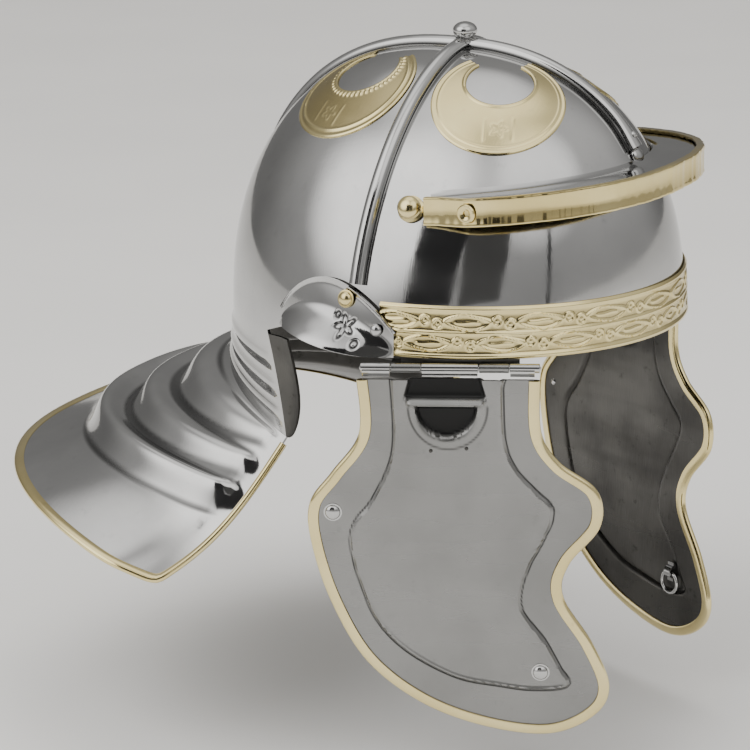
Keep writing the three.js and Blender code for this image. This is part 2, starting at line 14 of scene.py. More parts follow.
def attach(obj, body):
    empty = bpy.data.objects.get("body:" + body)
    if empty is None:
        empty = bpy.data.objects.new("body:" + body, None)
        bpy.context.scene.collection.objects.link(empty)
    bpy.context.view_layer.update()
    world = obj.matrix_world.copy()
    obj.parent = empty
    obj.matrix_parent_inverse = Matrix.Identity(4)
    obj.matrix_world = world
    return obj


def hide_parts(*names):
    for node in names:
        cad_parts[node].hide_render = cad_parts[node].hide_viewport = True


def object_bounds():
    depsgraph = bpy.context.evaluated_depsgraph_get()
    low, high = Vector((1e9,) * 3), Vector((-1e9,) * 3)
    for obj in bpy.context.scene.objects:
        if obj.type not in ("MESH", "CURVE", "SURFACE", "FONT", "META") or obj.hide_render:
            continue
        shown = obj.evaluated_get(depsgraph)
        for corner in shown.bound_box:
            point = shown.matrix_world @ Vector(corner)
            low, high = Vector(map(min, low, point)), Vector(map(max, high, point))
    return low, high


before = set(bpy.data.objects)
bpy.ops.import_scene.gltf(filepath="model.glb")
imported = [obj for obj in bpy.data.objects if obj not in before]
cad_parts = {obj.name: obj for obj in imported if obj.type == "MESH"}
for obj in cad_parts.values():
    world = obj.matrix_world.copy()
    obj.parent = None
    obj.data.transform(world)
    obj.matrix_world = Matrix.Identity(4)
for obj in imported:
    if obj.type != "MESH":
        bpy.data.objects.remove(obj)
CAD_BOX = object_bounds()

MM = 0.001
ROOT = "helmet"
SIDES = ("right", "left")

# ---- Solids in millimetres ----------------------------------------------------------------------


class Solid:
    """Vertices, four-cornered faces (a triangle repeats a corner), a finish index per face, and a
    painted-light value per vertex, from 0 for painted shade in a hollow to 1 for a painted highlight on a
    crest."""

    def __init__(self, verts, faces, kinds=None, painted_light=None):
        self.verts = np.asarray(verts, float).reshape(-1, 3)
        self.faces = np.asarray(faces, int).reshape(-1, 4)
        self.kinds = np.zeros(len(self.faces), int) if kinds is None else np.asarray(kinds, int)
        self.painted_light = np.full(len(self.verts), 0.6) if painted_light is None else np.asarray(painted_light, float)

    def moved(self, matrix):
        m = np.array(matrix, float)
        return Solid(self.verts @ m[:3, :3].T + m[:3, 3], self.faces, self.kinds, self.painted_light)

    def mirrored(self):
        return Solid(self.verts * (-1, 1, 1), self.faces[:, ::-1], self.kinds, self.painted_light)

    def with_kind(self, kind):
        return Solid(self.verts, self.faces, np.full(len(self.faces), kind), self.painted_light)


def joined(*solids):
    base = np.cumsum([0] + [len(s.verts) for s in solids])
    return Solid(
        np.vstack([s.verts for s in solids]),
        np.vstack([s.faces + b for s, b in zip(solids, base)]),
        np.concatenate([s.kinds for s in solids]),
        np.concatenate([s.painted_light for s in solids]),
    )


def unit(v):
    return v / np.maximum(np.linalg.norm(v, axis=-1, keepdims=True), 1e-12)


def grid_faces(rows, columns, start=0, around=False):
    """Faces of a grid of points, numbered row by row; around joins the last row to the first."""
    i, j = np.meshgrid(np.arange(rows if around else rows - 1), np.arange(columns - 1), indexing="ij")
    a = i * columns + j
    b = ((i + 1) % rows) * columns + j
    return start + np.stack([a, b, b + 1, a + 1], -1).reshape(-1, 4)


def welded(points, faces, painted_light):
    keys = np.round(points * 500).astype(np.int64)
    _, first, back = np.unique(keys, axis=0, return_index=True, return_inverse=True)
    faces = back.reshape(-1)[faces]
    corners = np.array([len(set(face)) for face in faces])
    return points[first], faces[corners > 2], painted_light[first]


def face_normals(verts, faces):
    p = verts[faces]
    return np.cross(p[:, 2] - p[:, 0], p[:, 3] - p[:, 1])


def vertex_normals(verts, faces):
    normals = np.zeros_like(verts)
    each = face_normals(verts, faces)
    for k in range(4):
        np.add.at(normals, faces[:, k], each)
    return unit(normals)


def shell(grids, thickness, flip=False, back_kind=0):
    """A sheet of the given thickness behind one or more grids of points that share edges.
    Each grid is (points, painted-light values or None, around)."""
    points, faces, painted_light = [], [], []
    start = 0
    for grid, high, around in grids:
        rows, columns = grid.shape[:2]
        points.append(grid.reshape(-1, 3))
        faces.append(grid_faces(rows, columns, start, around))
        painted_light.append(np.full(rows * columns, 0.6) if high is None else high.reshape(-1))
        start += rows * columns
    verts, faces, painted_light = welded(np.vstack(points), np.vstack(faces), np.concatenate(painted_light))
    if flip:
        faces = faces[:, ::-1]
    count = len(verts)
    behind = verts - vertex_normals(verts, faces) * thickness
    edges = np.concatenate([faces[:, [k, (k + 1) % 4]] for k in range(4)])
    edges = edges[edges[:, 0] != edges[:, 1]]
    codes = edges[:, 0] * count + edges[:, 1]
    free = edges[~np.isin(codes, edges[:, 1] * count + edges[:, 0])]
    a, b = free[:, 0], free[:, 1]
    walls = np.stack([b, a, a + count, b + count], -1)
    kinds = np.concatenate([np.zeros(len(faces)), np.full(len(faces), back_kind), np.zeros(len(walls))])
    return Solid(
        np.vstack([verts, behind]),
        np.vstack([faces, faces[:, ::-1] + count, walls]),
        kinds,
        np.concatenate([painted_light, np.full(count, 0.5)]),
    )


def swept(at, side, up, section, painted_light=None):
    """A bar with the section (across, up) carried along points, with flat ends."""
    section = np.asarray(section, float)
    count, corners = len(at), len(section)
    verts = at[:, None] + side[:, None] * section[None, :, :1] + up[:, None] * section[None, :, 1:]
    verts = verts.reshape(-1, 3)
    i, k = np.meshgrid(np.arange(count - 1), np.arange(corners), indexing="ij")
    a = i * corners + k
    b = i * corners + (k + 1) % corners
    faces = np.stack([a, b, b + corners, a + corners], -1).reshape(-1, 4)
    ends = []
    for first, turn in ((0, True), ((count - 1) * corners, False)):
        centre = len(verts)
        verts = np.vstack([verts, verts[first : first + corners].mean(0)])
        for k in range(corners):
            c, d = first + k, first + (k + 1) % corners
            ends.append([centre, d, c, c] if turn else [centre, c, d, d])
    if painted_light is not None:
        painted_light = np.concatenate([np.tile(painted_light, count), [0.5, 0.5]])
    solid = Solid(verts, np.vstack([faces, ends]), None, painted_light)
    return outward_facing(solid)


def outward_facing(solid):
    p = solid.verts[solid.faces]
    volume = np.einsum("ij,ij->i", p.mean(1), face_normals(solid.verts, solid.faces)).sum()
    return solid if volume > 0 else Solid(solid.verts, solid.faces[:, ::-1], solid.kinds, solid.painted_light)


def lathe(profile, segments=36):
    """A turned solid from (radius, height) points that start and end on the axis or close on themselves."""
    profile = np.asarray(profile, float)
    turn = np.linspace(0, 2 * np.pi, segments, endpoint=False)
    radius, height = profile[:, 0], profile[:, 1]
    points = np.stack([
        np.outer(np.cos(turn), radius), np.outer(np.sin(turn), radius), np.tile(height, (segments, 1)),
    ], -1)
    faces = grid_faces(segments, len(profile), 0, True)
    verts, faces, painted_light = welded(points.reshape(-1, 3), faces, np.full(points[..., 0].size, 0.6))
    return outward_facing(Solid(verts, faces, None, painted_light))


def dome(radius, height, skirt=0.2, steps=10):
    """A rivet's head with a short upright skirt, standing on z = 0."""
    turn = np.linspace(0, np.pi / 2, steps)
    rounded = np.stack([radius * np.cos(turn), height * (skirt + (1 - skirt) * np.sin(turn))], -1)
    return lathe([(0, 0), (radius, 0), *rounded])


def ring(radius, wire, segments=40, sides=12):
    """A ring of round wire round the z axis."""
    turn = np.linspace(0, 2 * np.pi, sides + 1)
    return lathe(np.stack([radius + wire * np.cos(turn), wire * np.sin(turn)], -1), segments)


def standing(solid, at, direction):
    """Turns a solid that stands along +Z to stand out along a direction, at a place."""
    turn = Vector((0, 0, 1)).rotation_difference(Vector(direction)).to_matrix().to_4x4()
    return solid.moved(Matrix.Translation(Vector(at)) @ turn)


def smooth(low, high, value):
    t = np.clip((value - low) / (high - low), 0, 1)
    return t * t * (3 - 2 * t)


def bump(value, width):
    return np.exp(-((value / width) ** 2))


def along_points(points):
    return unit(np.gradient(points, axis=0))


def run_along(points):
    """Distance along a run of points, from its first."""
    return np.concatenate([[0], np.cumsum(np.linalg.norm(np.diff(points, axis=0), axis=1))])


def evenly(points, count):
    run = run_along(points)
    even = np.linspace(0, run[-1], count)
    return np.stack([np.interp(even, run, points[:, k]) for k in range(points.shape[1])], -1)


def spline(corners, count):
    """Evenly spaced points on a smooth curve through the corners."""
    p = np.asarray(corners, float)
    p = np.vstack([p[:1], p, p[-1:]])
    t = np.linspace(0, 1, 24, endpoint=False)[:, None]
    parts = []
    for k in range(1, len(p) - 2):
        a, b = (p[k + 1] - p[k - 1]) / 2, (p[k + 2] - p[k]) / 2
        c, d = p[k], p[k + 1]
        parts.append((2 * c - 2 * d + a + b) * t**3 + (3 * d - 3 * c - 2 * a - b) * t**2 + a * t + c)
    dense = np.vstack([*parts, p[-1:]])
    return evenly(dense, count)


def signed_distance(points, outline):
    """Distance to a closed outline in a plane, positive inside."""
    start, end = outline, np.roll(outline, -1, axis=0)
    nearest = np.full(len(points), 1e9)
    inside = np.zeros(len(points), bool)
    for a, b in zip(start, end):
        run = b - a
        share = np.clip(((points - a) @ run) / max(run @ run, 1e-12), 0, 1)
        nearest = np.minimum(nearest, np.linalg.norm(points - a - share[:, None] * run, axis=1))
        crosses = (a[1] > points[:, 1]) != (b[1] > points[:, 1])
        reach = a[0] + (points[:, 1] - a[1]) * (b[0] - a[0]) / (b[1] - a[1] if b[1] != a[1] else 1e-12)
        inside ^= crosses & (points[:, 0] < reach)
    return np.where(inside, nearest, -nearest)


# ---- The bowl's surface -------------------------------------------------------------------------

HALF_LENGTH = 113.0
HALF_WIDTH = 98.0
HEIGHT = 126.0
FRONT_POWER = 2.45
REAR_POWER = 2.3
SIDE_POWER = 1.78
CROWN_Y = -6.0
UP = np.array([0.0, 0.0, 1.0])


def power_at(angle):
    forward = np.cos(angle)
    return SIDE_POWER + (np.where(forward > 0, FRONT_POWER, REAR_POWER) - SIDE_POWER) * forward**2


def wall(angle, z):
    """The outer surface at an angle from the front toward the wearer's left, and a height."""
    angle, z = np.broadcast_arrays(np.asarray(angle, float), np.asarray(z, float))
    p = power_at(angle)
    scale = (1 - np.clip(z / HEIGHT, 0, 1) ** p) ** (1 / p)
    return np.stack([HALF_WIDTH * scale * np.sin(angle), -HALF_LENGTH * scale * np.cos(angle), z], -1)


def level(points):
    across = points[..., 0] / HALF_WIDTH
    along = -points[..., 1] / HALF_LENGTH
    p = power_at(np.arctan2(across, along))
    return np.hypot(across, along) ** p + (np.maximum(points[..., 2], 0) / HEIGHT) ** p


def outward(points):
    points = np.asarray(points, float)
    step = 0.05 * np.eye(3)
    return unit(np.stack([level(points + s) - level(points - s) for s in step], -1))


def lifted(points, lift):
    return points + outward(points) * (lift if np.isscalar(lift) else np.asarray(lift)[..., None])


def roof(x, y):
    x, y = np.broadcast_arrays(np.asarray(x, float), np.asarray(y, float))
    p = power_at(np.arctan2(x / HALF_WIDTH, -y / HALF_LENGTH))
    reach = np.hypot(x / HALF_WIDTH, y / HALF_LENGTH)
    return np.stack([x, y, HEIGHT * np.maximum(0, 1 - reach**p) ** (1 / p)], -1)


def snapped(points):
    """Each point moved to the surface, straight out from the bowl's heart."""
    heart = np.array([0.0, 0.0, 10.0])
    near = np.full(points.shape[:-1], 0.5)
    far = np.full(points.shape[:-1], 1.6)
    for _ in range(40):
        middle = (near + far) / 2
        inside = level(heart + (points - heart) * middle[..., None]) < 1
        near = np.where(inside, middle, near)
        far = np.where(inside, far, middle)
    return heart + (points - heart) * near[..., None]


# ---- Materials ----------------------------------------------------------------------------------


class Tree:
    """Short names for the nodes that the finishes and the sky share."""

    def __init__(self, tree):
        self.tree = tree

    def add(self, kind, **values):
        node = self.tree.nodes.new(kind)
        for key, value in values.items():
            setattr(node, key, value)
        return node

    def join(self, a, b):
        self.tree.links.new(a, b)

    def ramp(self, value, low, high, dark=0.0, light=1.0):
        node = self.add("ShaderNodeMapRange", interpolation_type="SMOOTHSTEP")
        for key, number in zip(("From Min", "From Max", "To Min", "To Max"), (low, high, dark, light)):
            node.inputs[key].default_value = number
        self.join(value, node.inputs["Value"])
        return node.outputs["Result"]

    def maths(self, operation, a, b):
        node = self.add("ShaderNodeMath", operation=operation)
        for key, value in ((0, a), (1, b)):
            if isinstance(value, (int, float)):
                node.inputs[key].default_value = value
            else:
                self.join(value, node.inputs[key])
        return node.outputs[0]


class Finish(Tree):
    """A new material's nodes."""

    def __init__(self, name):
        self.material = bpy.data.materials.new(name)
        self.material.use_nodes = True
        super().__init__(self.material.node_tree)
        self.shader = self.tree.nodes["Principled BSDF"]
        self.place = self.add("ShaderNodeTexCoord").outputs["Object"]

    def stretched(self, scale, turn):
        node = self.add("ShaderNodeMapping")
        node.inputs["Scale"].default_value = scale
        node.inputs["Rotation"].default_value = turn
        self.join(self.place, node.inputs["Vector"])
        return node.outputs["Vector"]

    def noise(self, scale, detail, vector=None, roughness=0.5):
        node = self.add("ShaderNodeTexNoise")
        for key, value in (("Scale", scale), ("Detail", detail), ("Roughness", roughness)):
            node.inputs[key].default_value = value
        self.join(self.place if vector is None else vector, node.inputs["Vector"])
        return node.outputs["Fac"]

    def mix(self, share, first, second):
        node = self.add("ShaderNodeMix", data_type="RGBA")
        for key, colour in ((6, first), (7, second)):
            if isinstance(colour, tuple):
                node.inputs[key].default_value = (*colour, 1)
            else:
                self.join(colour, node.inputs[key])
        self.join(share, node.inputs[0])
        return node.outputs[2]

    def bumped(self, height, strength, distance, before=None):
        node = self.add("ShaderNodeBump")
        node.inputs["Strength"].default_value = strength
        node.inputs["Distance"].default_value = distance
        self.join(height, node.inputs["Height"])
        if before is not None:
            self.join(before, node.inputs["Normal"])
        return node.outputs["Normal"]


def metal(name, clean, worn, tarnish_and_shade, gloss, wave=0.0, scratch=0.1, tarnish=0.3):
    """A metal with slow colour drift, tarnish spots, painted shade in hollows from the painted-light value,
    wiping marks in its gloss, fine scratches and, where it is beaten sheet, a slow wave."""
    n = Finish(name)
    n.shader.inputs["Metallic"].default_value = 1.0
    drift = n.ramp(n.noise(22, 4), 0.35, 0.7)
    spots = n.ramp(n.noise(150, 5, roughness=0.65), 0.58, 0.78, 0, tarnish)
    colour = n.mix(drift, clean, worn)
    colour = n.mix(spots, colour, tarnish_and_shade)
    painted_light = n.add("ShaderNodeAttribute", attribute_name="painted_light").outputs["Fac"]
    # Painted shade: where the painted-light value is low, in hollows and creases, the colour is darkened
    # toward the tarnish-and-shade colour.
    deep = n.ramp(painted_light, 0.05, 0.5, 1.0, 0.0)
    colour = n.mix(deep, colour, tarnish_and_shade)
    n.join(colour, n.shader.inputs["Base Color"])
    wiped = n.noise(9, 3, n.stretched((1, 1, 7), (0.5, 0.3, 0)))
    rough = n.ramp(wiped, 0.3, 0.75, gloss[0], gloss[1])
    rough = n.maths("ADD", rough, n.maths("MULTIPLY", deep, 0.2))
    n.join(rough, n.shader.inputs["Roughness"])
    lines = n.noise(60, 2, n.stretched((1, 26, 3), (0.4, 0.9, 0.6)))
    crossed = n.noise(50, 2, n.stretched((22, 2, 1), (0.2, 0.4, 1.3)))
    marks = n.maths("ADD", lines, crossed)
    normal = n.bumped(marks, scratch, 0.0002)
    if wave:
        normal = n.bumped(n.noise(26, 1), wave, 0.004, normal)
    n.join(normal, n.shader.inputs["Normal"])
    return n.material


# Each metal's third colour is its tarnish colour and also the painted shade in its hollows.
POLISHED = metal("polished_steel", (0.58, 0.58, 0.575), (0.50, 0.50, 0.50), (0.06, 0.06, 0.06),
                 (0.06, 0.13), wave=0.08, scratch=0.04, tarnish=0.1)
SATIN = metal("satin_steel", (0.30, 0.30, 0.295), (0.255, 0.255, 0.25), (0.03, 0.03, 0.03),
              (0.24, 0.34), wave=0.03, scratch=0.1, tarnish=0.12)
INSIDE = metal("inner_steel", (0.12, 0.117, 0.11), (0.065, 0.063, 0.06), (0.02, 0.02, 0.018),
               (0.26, 0.46), wave=0.1, scratch=0.5, tarnish=0.7)
BRASS = metal("polished_brass", (0.90, 0.77, 0.40), (0.80, 0.665, 0.32), (0.15, 0.105, 0.04),
              (0.10, 0.22), wave=0.03, scratch=0.06, tarnish=0.15)
BEATEN = metal("beaten_brass", (0.90, 0.76, 0.38), (0.76, 0.62, 0.28), (0.15, 0.105, 0.04),
               (0.07, 0.14), wave=0.8, scratch=0.04, tarnish=0.1)
FINISHES = [POLISHED, INSIDE, BRASS, SATIN, BEATEN]
STEEL, INNER, GOLD, DULL, STRIP = range(5)


def make(name, solid, body, nodes):
    """Turns a solid into a piece that rides on a body and stands for CAD nodes."""
    used = sorted(set(solid.kinds.tolist()))
    mesh = bpy.data.meshes.new(name)
    loops = [list(dict.fromkeys(face)) for face in solid.faces.tolist()]
    mesh.from_pydata((solid.verts * MM).tolist(), [], loops)
    for kind in used:
        mesh.materials.append(FINISHES[kind])
    place = np.array([used.index(kind) if kind in used else 0 for kind in range(len(FINISHES))])
    mesh.polygons.foreach_set("material_index", place[solid.kinds].astype(np.int32))
    mesh.polygons.foreach_set("use_smooth", np.ones(len(loops), bool))
    # Stored per vertex so the finishes paint shade in hollows and creases and keep crests light.
    painted_light = mesh.attributes.new("painted_light", "FLOAT", "POINT")
    painted_light.data.foreach_set("value", solid.painted_light.astype(np.float32))
    mesh.set_sharp_from_angle(angle=math.radians(38))
    mesh.validate()
    piece = bpy.data.objects.new(name, mesh)
    bpy.context.scene.collection.objects.link(piece)
    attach(piece, body)
    if nodes:
        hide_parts(*nodes)
    return piece


def make_pair(name, solid, nodes, moving=False):
    """A piece on the wearer's right and its mirror image on the left."""
    for side, shape in zip(SIDES, (solid, solid.mirrored())):
        body = f"cheek_guard_{side}" if moving else ROOT
        make(f"{name}_{side}", shape, body, [f"{node}_{side}" for node in nodes])


# ---- Bowl, nape and neck guard ------------------------------------------------------------------

SHEET = 1.5
EAR_ARCH_FRONT = -14.0
EAR_ARCH_RISE = 9.0
NAPE_HALF_ANGLE = math.radians(60)
NAPE_BACK = 26.0
NAPE_SIDE = 51.0
GUARD_CENTRE_Y = 80.0
GUARD_HALF_WIDTH = 151.0
GUARD_REACH = 148.0
GUARD_POWER = 2.25
GUARD_SWEEP = math.radians(88)
GUARD_DROP_BACK = 80.0
GUARD_DROP_SIDE = 112.0
EDGE_INSET = 3.0        # the neck guard's sheet stops this far inside its outline
NAPE_FLARE = 3.0
NAPE_FRONT_PULL = 12.0
GUARD_CORNER_CUT = 6.0
NAPE_STEPS = (0.3, 0.56, 0.82)
NAPE_STEP_SWELL = 0.0105
FLANGE_WIDTH = 14.5
FLANGE_BULGE = 4.5
FLANGE_CURL = 3.2


def edge_height(angle):
    y = -HALF_LENGTH * np.cos(angle)
    across = (y - EAR_ARCH_FRONT) / (HALF_LENGTH * math.cos(NAPE_HALF_ANGLE) - EAR_ARCH_FRONT)
    return np.where((across > 0) & (across < 1), EAR_ARCH_RISE * np.sin(np.pi * np.clip(across, 0, 1)), 0)


def nape_point(side, down):
    """side runs from -1 to 1 across the back, down from the rim to the nape's foot."""
    side, down = np.broadcast_arrays(np.asarray(side, float), np.asarray(down, float))
    depth = NAPE_BACK + (NAPE_SIDE - NAPE_BACK) * side**2
    foot = wall(np.pi + NAPE_HALF_ANGLE * side, -depth * down)
    flare = NAPE_FLARE * down**2
    foot[..., 0] *= 1 + flare / HALF_WIDTH
    foot[..., 1] *= 1 + flare / HALF_LENGTH
    foot[..., 1] -= NAPE_FRONT_PULL * np.abs(side) ** 4 * down
    return foot


def guard_rim(side, inset):
    angle = GUARD_SWEEP * side
    shrink = GUARD_CORNER_CUT * smooth(0.86, 1, np.abs(side)) ** 2
    across = np.abs(np.sin(angle)) ** (2 / GUARD_POWER) * np.sign(side)
    back = np.cos(angle) ** (2 / GUARD_POWER)
    drop = GUARD_DROP_BACK + (GUARD_DROP_SIDE - GUARD_DROP_BACK) * np.abs(side) ** 3
    return np.stack([
        -(GUARD_HALF_WIDTH - inset - shrink) * across, GUARD_CENTRE_Y + (GUARD_REACH - inset) * back, -drop,
    ], -1)


RIDGE_HALF = 0.075
RIDGE_SWELL = 0.7
# Place at the front edges, how much further out at the back, and height.
RIDGES = ((0.06, 0.12, 4.5), (0.20, 0.22, 6.5), (0.36, 0.28, 8.5))


def ridge(side, out):
    """Three embossed ridges that follow the nape, spread at the back and fade at the two front edges."""
    middle = 1 - side**2
    fade = smooth(0, 0.05, out) * (1 - smooth(0.94, 1.0, np.abs(side)))
    total = np.zeros_like(out)
    crease = np.zeros_like(out)
    for place, spread, height in RIDGES:
        d = (out - place - spread * middle) / RIDGE_HALF
        total += height * np.where(d < 0, bump(d, 1.1), bump(d, 0.8))
        crease += bump(d + 1.5, 0.32) + bump(d - 1.2, 0.25)
    return total * fade * (1 + RIDGE_SWELL * (middle - 0.3)), crease * fade


def guard_point(side, out, inset):
    """A point of the neck guard's plate, and how deep in a crease it lies."""
    side, out = np.broadcast_arrays(np.asarray(side, float), np.asarray(out, float))
    root = nape_point(side, np.ones_like(side))
    rim = guard_rim(side, inset)
    point = root + (rim - root) * out[..., None]
    raised, crease = ridge(side, out)
    point[..., 2] = root[..., 2] + (rim - root)[..., 2] * (0.15 * np.sin(np.pi * out) + out) + raised
    point[..., 2] -= 0.5 * crease
    return point, crease


def bowl():
    angle = np.linspace(0, 2 * np.pi, 361)[:, None]
    p = power_at(angle)
    low = np.arcsin((edge_height(angle) / HEIGHT) ** (p / 2))
    tilt = np.pi / 2 + (low - np.pi / 2) * np.linspace(0, 1, 58)[None]
    z = HEIGHT * np.sin(np.clip(tilt, 0, np.pi / 2)) ** (2 / p)
    top = wall(angle, z)
    top[:, 0] = (0, 0, HEIGHT)
    side = np.linspace(-1, 1, 121)[:, None]
    down = np.linspace(0, 1, 26)[None]
    nape = nape_point(side, down)
    # Three shallow steps run round the nape.
    steps = np.zeros(nape.shape[:2])
    for place in NAPE_STEPS:
        steps += bump((down - place) / 0.07, 1.0)
    fade = 1 - smooth(0.97, 1.0, np.abs(side))
    nape[..., :2] *= 1 + NAPE_STEP_SWELL * (steps * fade)[..., None]
    out = np.linspace(0, 1, 110)[None]
    guard, crease = guard_point(side, out, EDGE_INSET)
    return shell([
        (top, None, False),
        (nape, None, False),
        # Painted shade along the neck guard's creases.
        (guard, 0.6 - 0.45 * np.clip(crease, 0, 1), False),
    ], SHEET, flip=True, back_kind=INNER)


def nape_flange():
    """The bowl's sheet turned out along one front edge of the nape."""
    down = np.linspace(0.04, 1, 40)
    edge = nape_point(np.full_like(down, 1.0), down)
    inner = nape_point(np.full_like(down, 0.98), down)
    outward_edge = unit(edge * (1, 1, 0))
    forward = unit(0.35 * unit(edge - inner) + (0, -1, 0))
    width = FLANGE_WIDTH * (1 - down) ** 0.5 + FLANGE_BULGE * np.sin(np.pi * down**1.3) + 0.8
    rows = []
    for share in np.linspace(0, 1, 11):
        curl = FLANGE_CURL * share**2 * (width / 14)
        rows.append(edge + forward * (width * share)[:, None] + outward_edge * curl[:, None])
    flange = outward_facing(shell([(np.stack(rows, 1), None, False)], 1.2, back_kind=INNER))
    # Both faces get the dark inner steel, the inside's own colour, which on the flange also paints its
    # shade.
    return flange.with_kind(INNER)


# A rolled edge, outward and up from the sheet's edge: the upper half, then its mirror image.
C_UPPER = [(-1.9, 0.5), (-2.6, 0.9), (-2.3, 1.5), (-1.2, 1.75), (0.4, 1.8), (1.6, 1.55), (2.4, 0.9)]
C_SECTION = [*C_UPPER, (2.7, 0.0), *[(across, -up) for across, up in reversed(C_UPPER)]]
# Painted light round the roll: painted shade where it leaves the sheet, painted highlight on its crest.
C_UPPER_PAINTED_LIGHT = [0, 0.1, 0.5, 0.9, 1, 0.9, 0.8]
C_PAINTED_LIGHT = np.array([*C_UPPER_PAINTED_LIGHT, 0.8, *reversed(C_UPPER_PAINTED_LIGHT)])


def neck_binding():
    """The rolled brass edge along the guard's two straight front edges and its curved outer edge."""
    out = np.linspace(0.03, 1, 60)
    side = np.linspace(-1, 1, 220)
    first, _ = guard_point(np.full(len(out), -1.0), out, EDGE_INSET)
    outer, _ = guard_point(side, np.ones_like(side), EDGE_INSET)
    last, _ = guard_point(np.full(len(out), 1.0), out[::-1], EDGE_INSET)
    path = np.vstack([first[:-1], outer, last[1:]])
    for _ in range(6):
        path[1:-1] = (path[:-2] + 2 * path[1:-1] + path[2:]) / 4
    path = evenly(path, 320)
    along = along_points(path)
    heart = np.array([0.0, 95.0, -78.0])
    side_way = path - heart
    side_way -= along * np.einsum("ij,ij->i", side_way, along)[:, None]
    across = unit(side_way)
    up = np.cross(along, across)
    up *= np.sign(up[:, 2:3])
    up = unit(up)
    across = unit(np.cross(up, along))
    across *= np.sign(np.einsum("ij,ij->i", across, path - heart))[:, None]
    return swept(path + across * 0.6 - up * 0.75, across, up, C_SECTION, C_PAINTED_LIGHT)


# ---- Peak ---------------------------------------------------------------------------------------

PEAK_HALF_WIDTH = 93.0
PEAK_REACH = 119.5
PEAK_POWER = 2.4
PEAK_PINCH = 9.0
PEAK_ROOT_SHARE = 0.93
PEAK_HEIGHT = 70.2
PEAK_RISE = 0.098
PEAK_SIDE_Y = -22.0
PEAK_SWEEP = math.radians(78)
STRIP_HEIGHT = 12.0
BEATEN_WAVES = ((0.10, 0.62, 0.0), (0.08, 1.13, 1.0), (0.12, 0.27, 2.0))   # depth, rate, start


def peak_height(y):
    return PEAK_HEIGHT + PEAK_RISE * (PEAK_SIDE_Y - y)


def peak_rim(angle, inset=0.0):
    across = (PEAK_HALF_WIDTH - inset) * np.abs(np.sin(angle)) ** (2 / PEAK_POWER)
    y = -(PEAK_REACH - inset) * np.cos(angle) ** (2 / PEAK_POWER)
    pinch = PEAK_PINCH * smooth(PEAK_SIDE_Y - 38, PEAK_SIDE_Y - 3, y)
    return np.stack([(across - pinch) * np.sign(angle), y, peak_height(y)], -1)


def peak_plate():
    angle = np.linspace(-PEAK_SWEEP, PEAK_SWEEP, 161)
    root = wall(angle * PEAK_ROOT_SHARE, PEAK_HEIGHT)
    for _ in range(4):
        root = wall(angle * PEAK_ROOT_SHARE, peak_height(root[:, 1]))
    rim = peak_rim(angle, 0.8)
    share = np.linspace(0, 1, 14)[None, :, None]
    points = root[:, None] + (rim - root)[:, None] * share
    points[..., 2] += 3.0 * (1 - share[..., 0]) ** 6
    return shell([(points, None, False)], 1.2, flip=True)


def peak_strip():
    """A brass strip that hangs from the peak's edge, with its top folded back over the plate."""
    angle = np.linspace(-PEAK_SWEEP - 0.035, PEAK_SWEEP + 0.035, 401)
    top = peak_rim(angle)
    along = along_points(top)
    out = unit(np.cross(along, UP))
    out *= np.sign(np.einsum("ij,ij->i", out, top * (1, 1, 0)))[:, None]
    run = run_along(top)
    beaten = sum(deep * np.sin(run * rate + start) for deep, rate, start in BEATEN_WAVES) - 0.2
    top = top + out * beaten[:, None]
    section = [(-3.4, 1.4), (-0.6, 1.7), (0.25, 1.35), (0.5, 0.6), (0.15, -0.6), (0.1, -STRIP_HEIGHT + 2.2),
               (0.5, -STRIP_HEIGHT + 1.4), (0.35, -STRIP_HEIGHT + 0.6), (-0.3, -STRIP_HEIGHT + 0.45),
               (-0.9, -STRIP_HEIGHT + 0.9), (-0.8, -0.4), (-1.0, 0.6), (-3.4, 0.6)]
    # Painted light across the strip: painted highlight on the top fold and lower bead, painted shade on its
    # back and underside.
    painted_light = np.array([0.5, 0.9, 1, 0.9, 0.6, 0.6, 0.9, 0.8, 0.5, 0.3, 0.3, 0.3, 0.2])
    return swept(top - out * 0.3, out, np.tile(UP, (len(top), 1)), section, painted_light)


# ---- Brow band ----------------------------------------------------------------------------------

BAND_HEIGHT = 24.4
BAND_SWEEP = math.radians(84)
MOTIF = 33.5            # length of one eye and its scrolls along the band
EYE_HALF = 10.5
EYE_RISE = 3.3


def band_relief(run, t):
    """Height of the band's ornament at a run from the front centre and a height above its lower edge."""
    along = np.abs(run)
    total = 1.2 * (bump(t - 22.9, 1.2) + bump(t - 1.5, 1.2)) + 0.95 * bump(t - 12.2, 0.9)
    for row, offset in ((17.1, 0.15), (7.3, 0.6)):
        q = np.mod(along + offset * MOTIF, MOTIF) - MOTIF / 2
        v = t - row - 0.3 * np.sin(q * 0.3)
        eye = (np.abs(q) / EYE_HALF) ** 1.6 + (np.abs(v) / EYE_RISE) ** 1.6
        total = total + 0.8 * bump(eye - 1, 0.24) * smooth(EYE_HALF + 1.5, EYE_HALF, np.abs(q))
        total = total + 0.55 * bump(v + 0.5 * np.sin(q * 0.45), 0.7) * smooth(6.5, 4.5, np.abs(q))
        gap = MOTIF / 2 - np.abs(q)
        scroll = np.hypot(gap - 3.0, v + 0.5 * np.sign(q))
        total = total + 0.65 * bump(scroll - 2.1, 0.5) + 0.45 * bump(scroll, 0.7)
    return total


def brow_band():
    angle = np.linspace(-BAND_SWEEP, BAND_SWEEP, 760)
    t = np.linspace(0.2, BAND_HEIGHT, 62)
    rim = wall(angle, 0)
    run = run_along(rim)
    run = run - run[-1] / 2
    height = band_relief(run[:, None], t[None])
    base = wall(angle[:, None], t[None])
    points = lifted(base, 0.75 + 0.85 * height)
    # Painted light: painted shade on the band's ground, painted highlight on the raised ornament.
    return shell([(points, np.clip(0.33 + 0.7 * height, 0, 1), False)], 0.7)


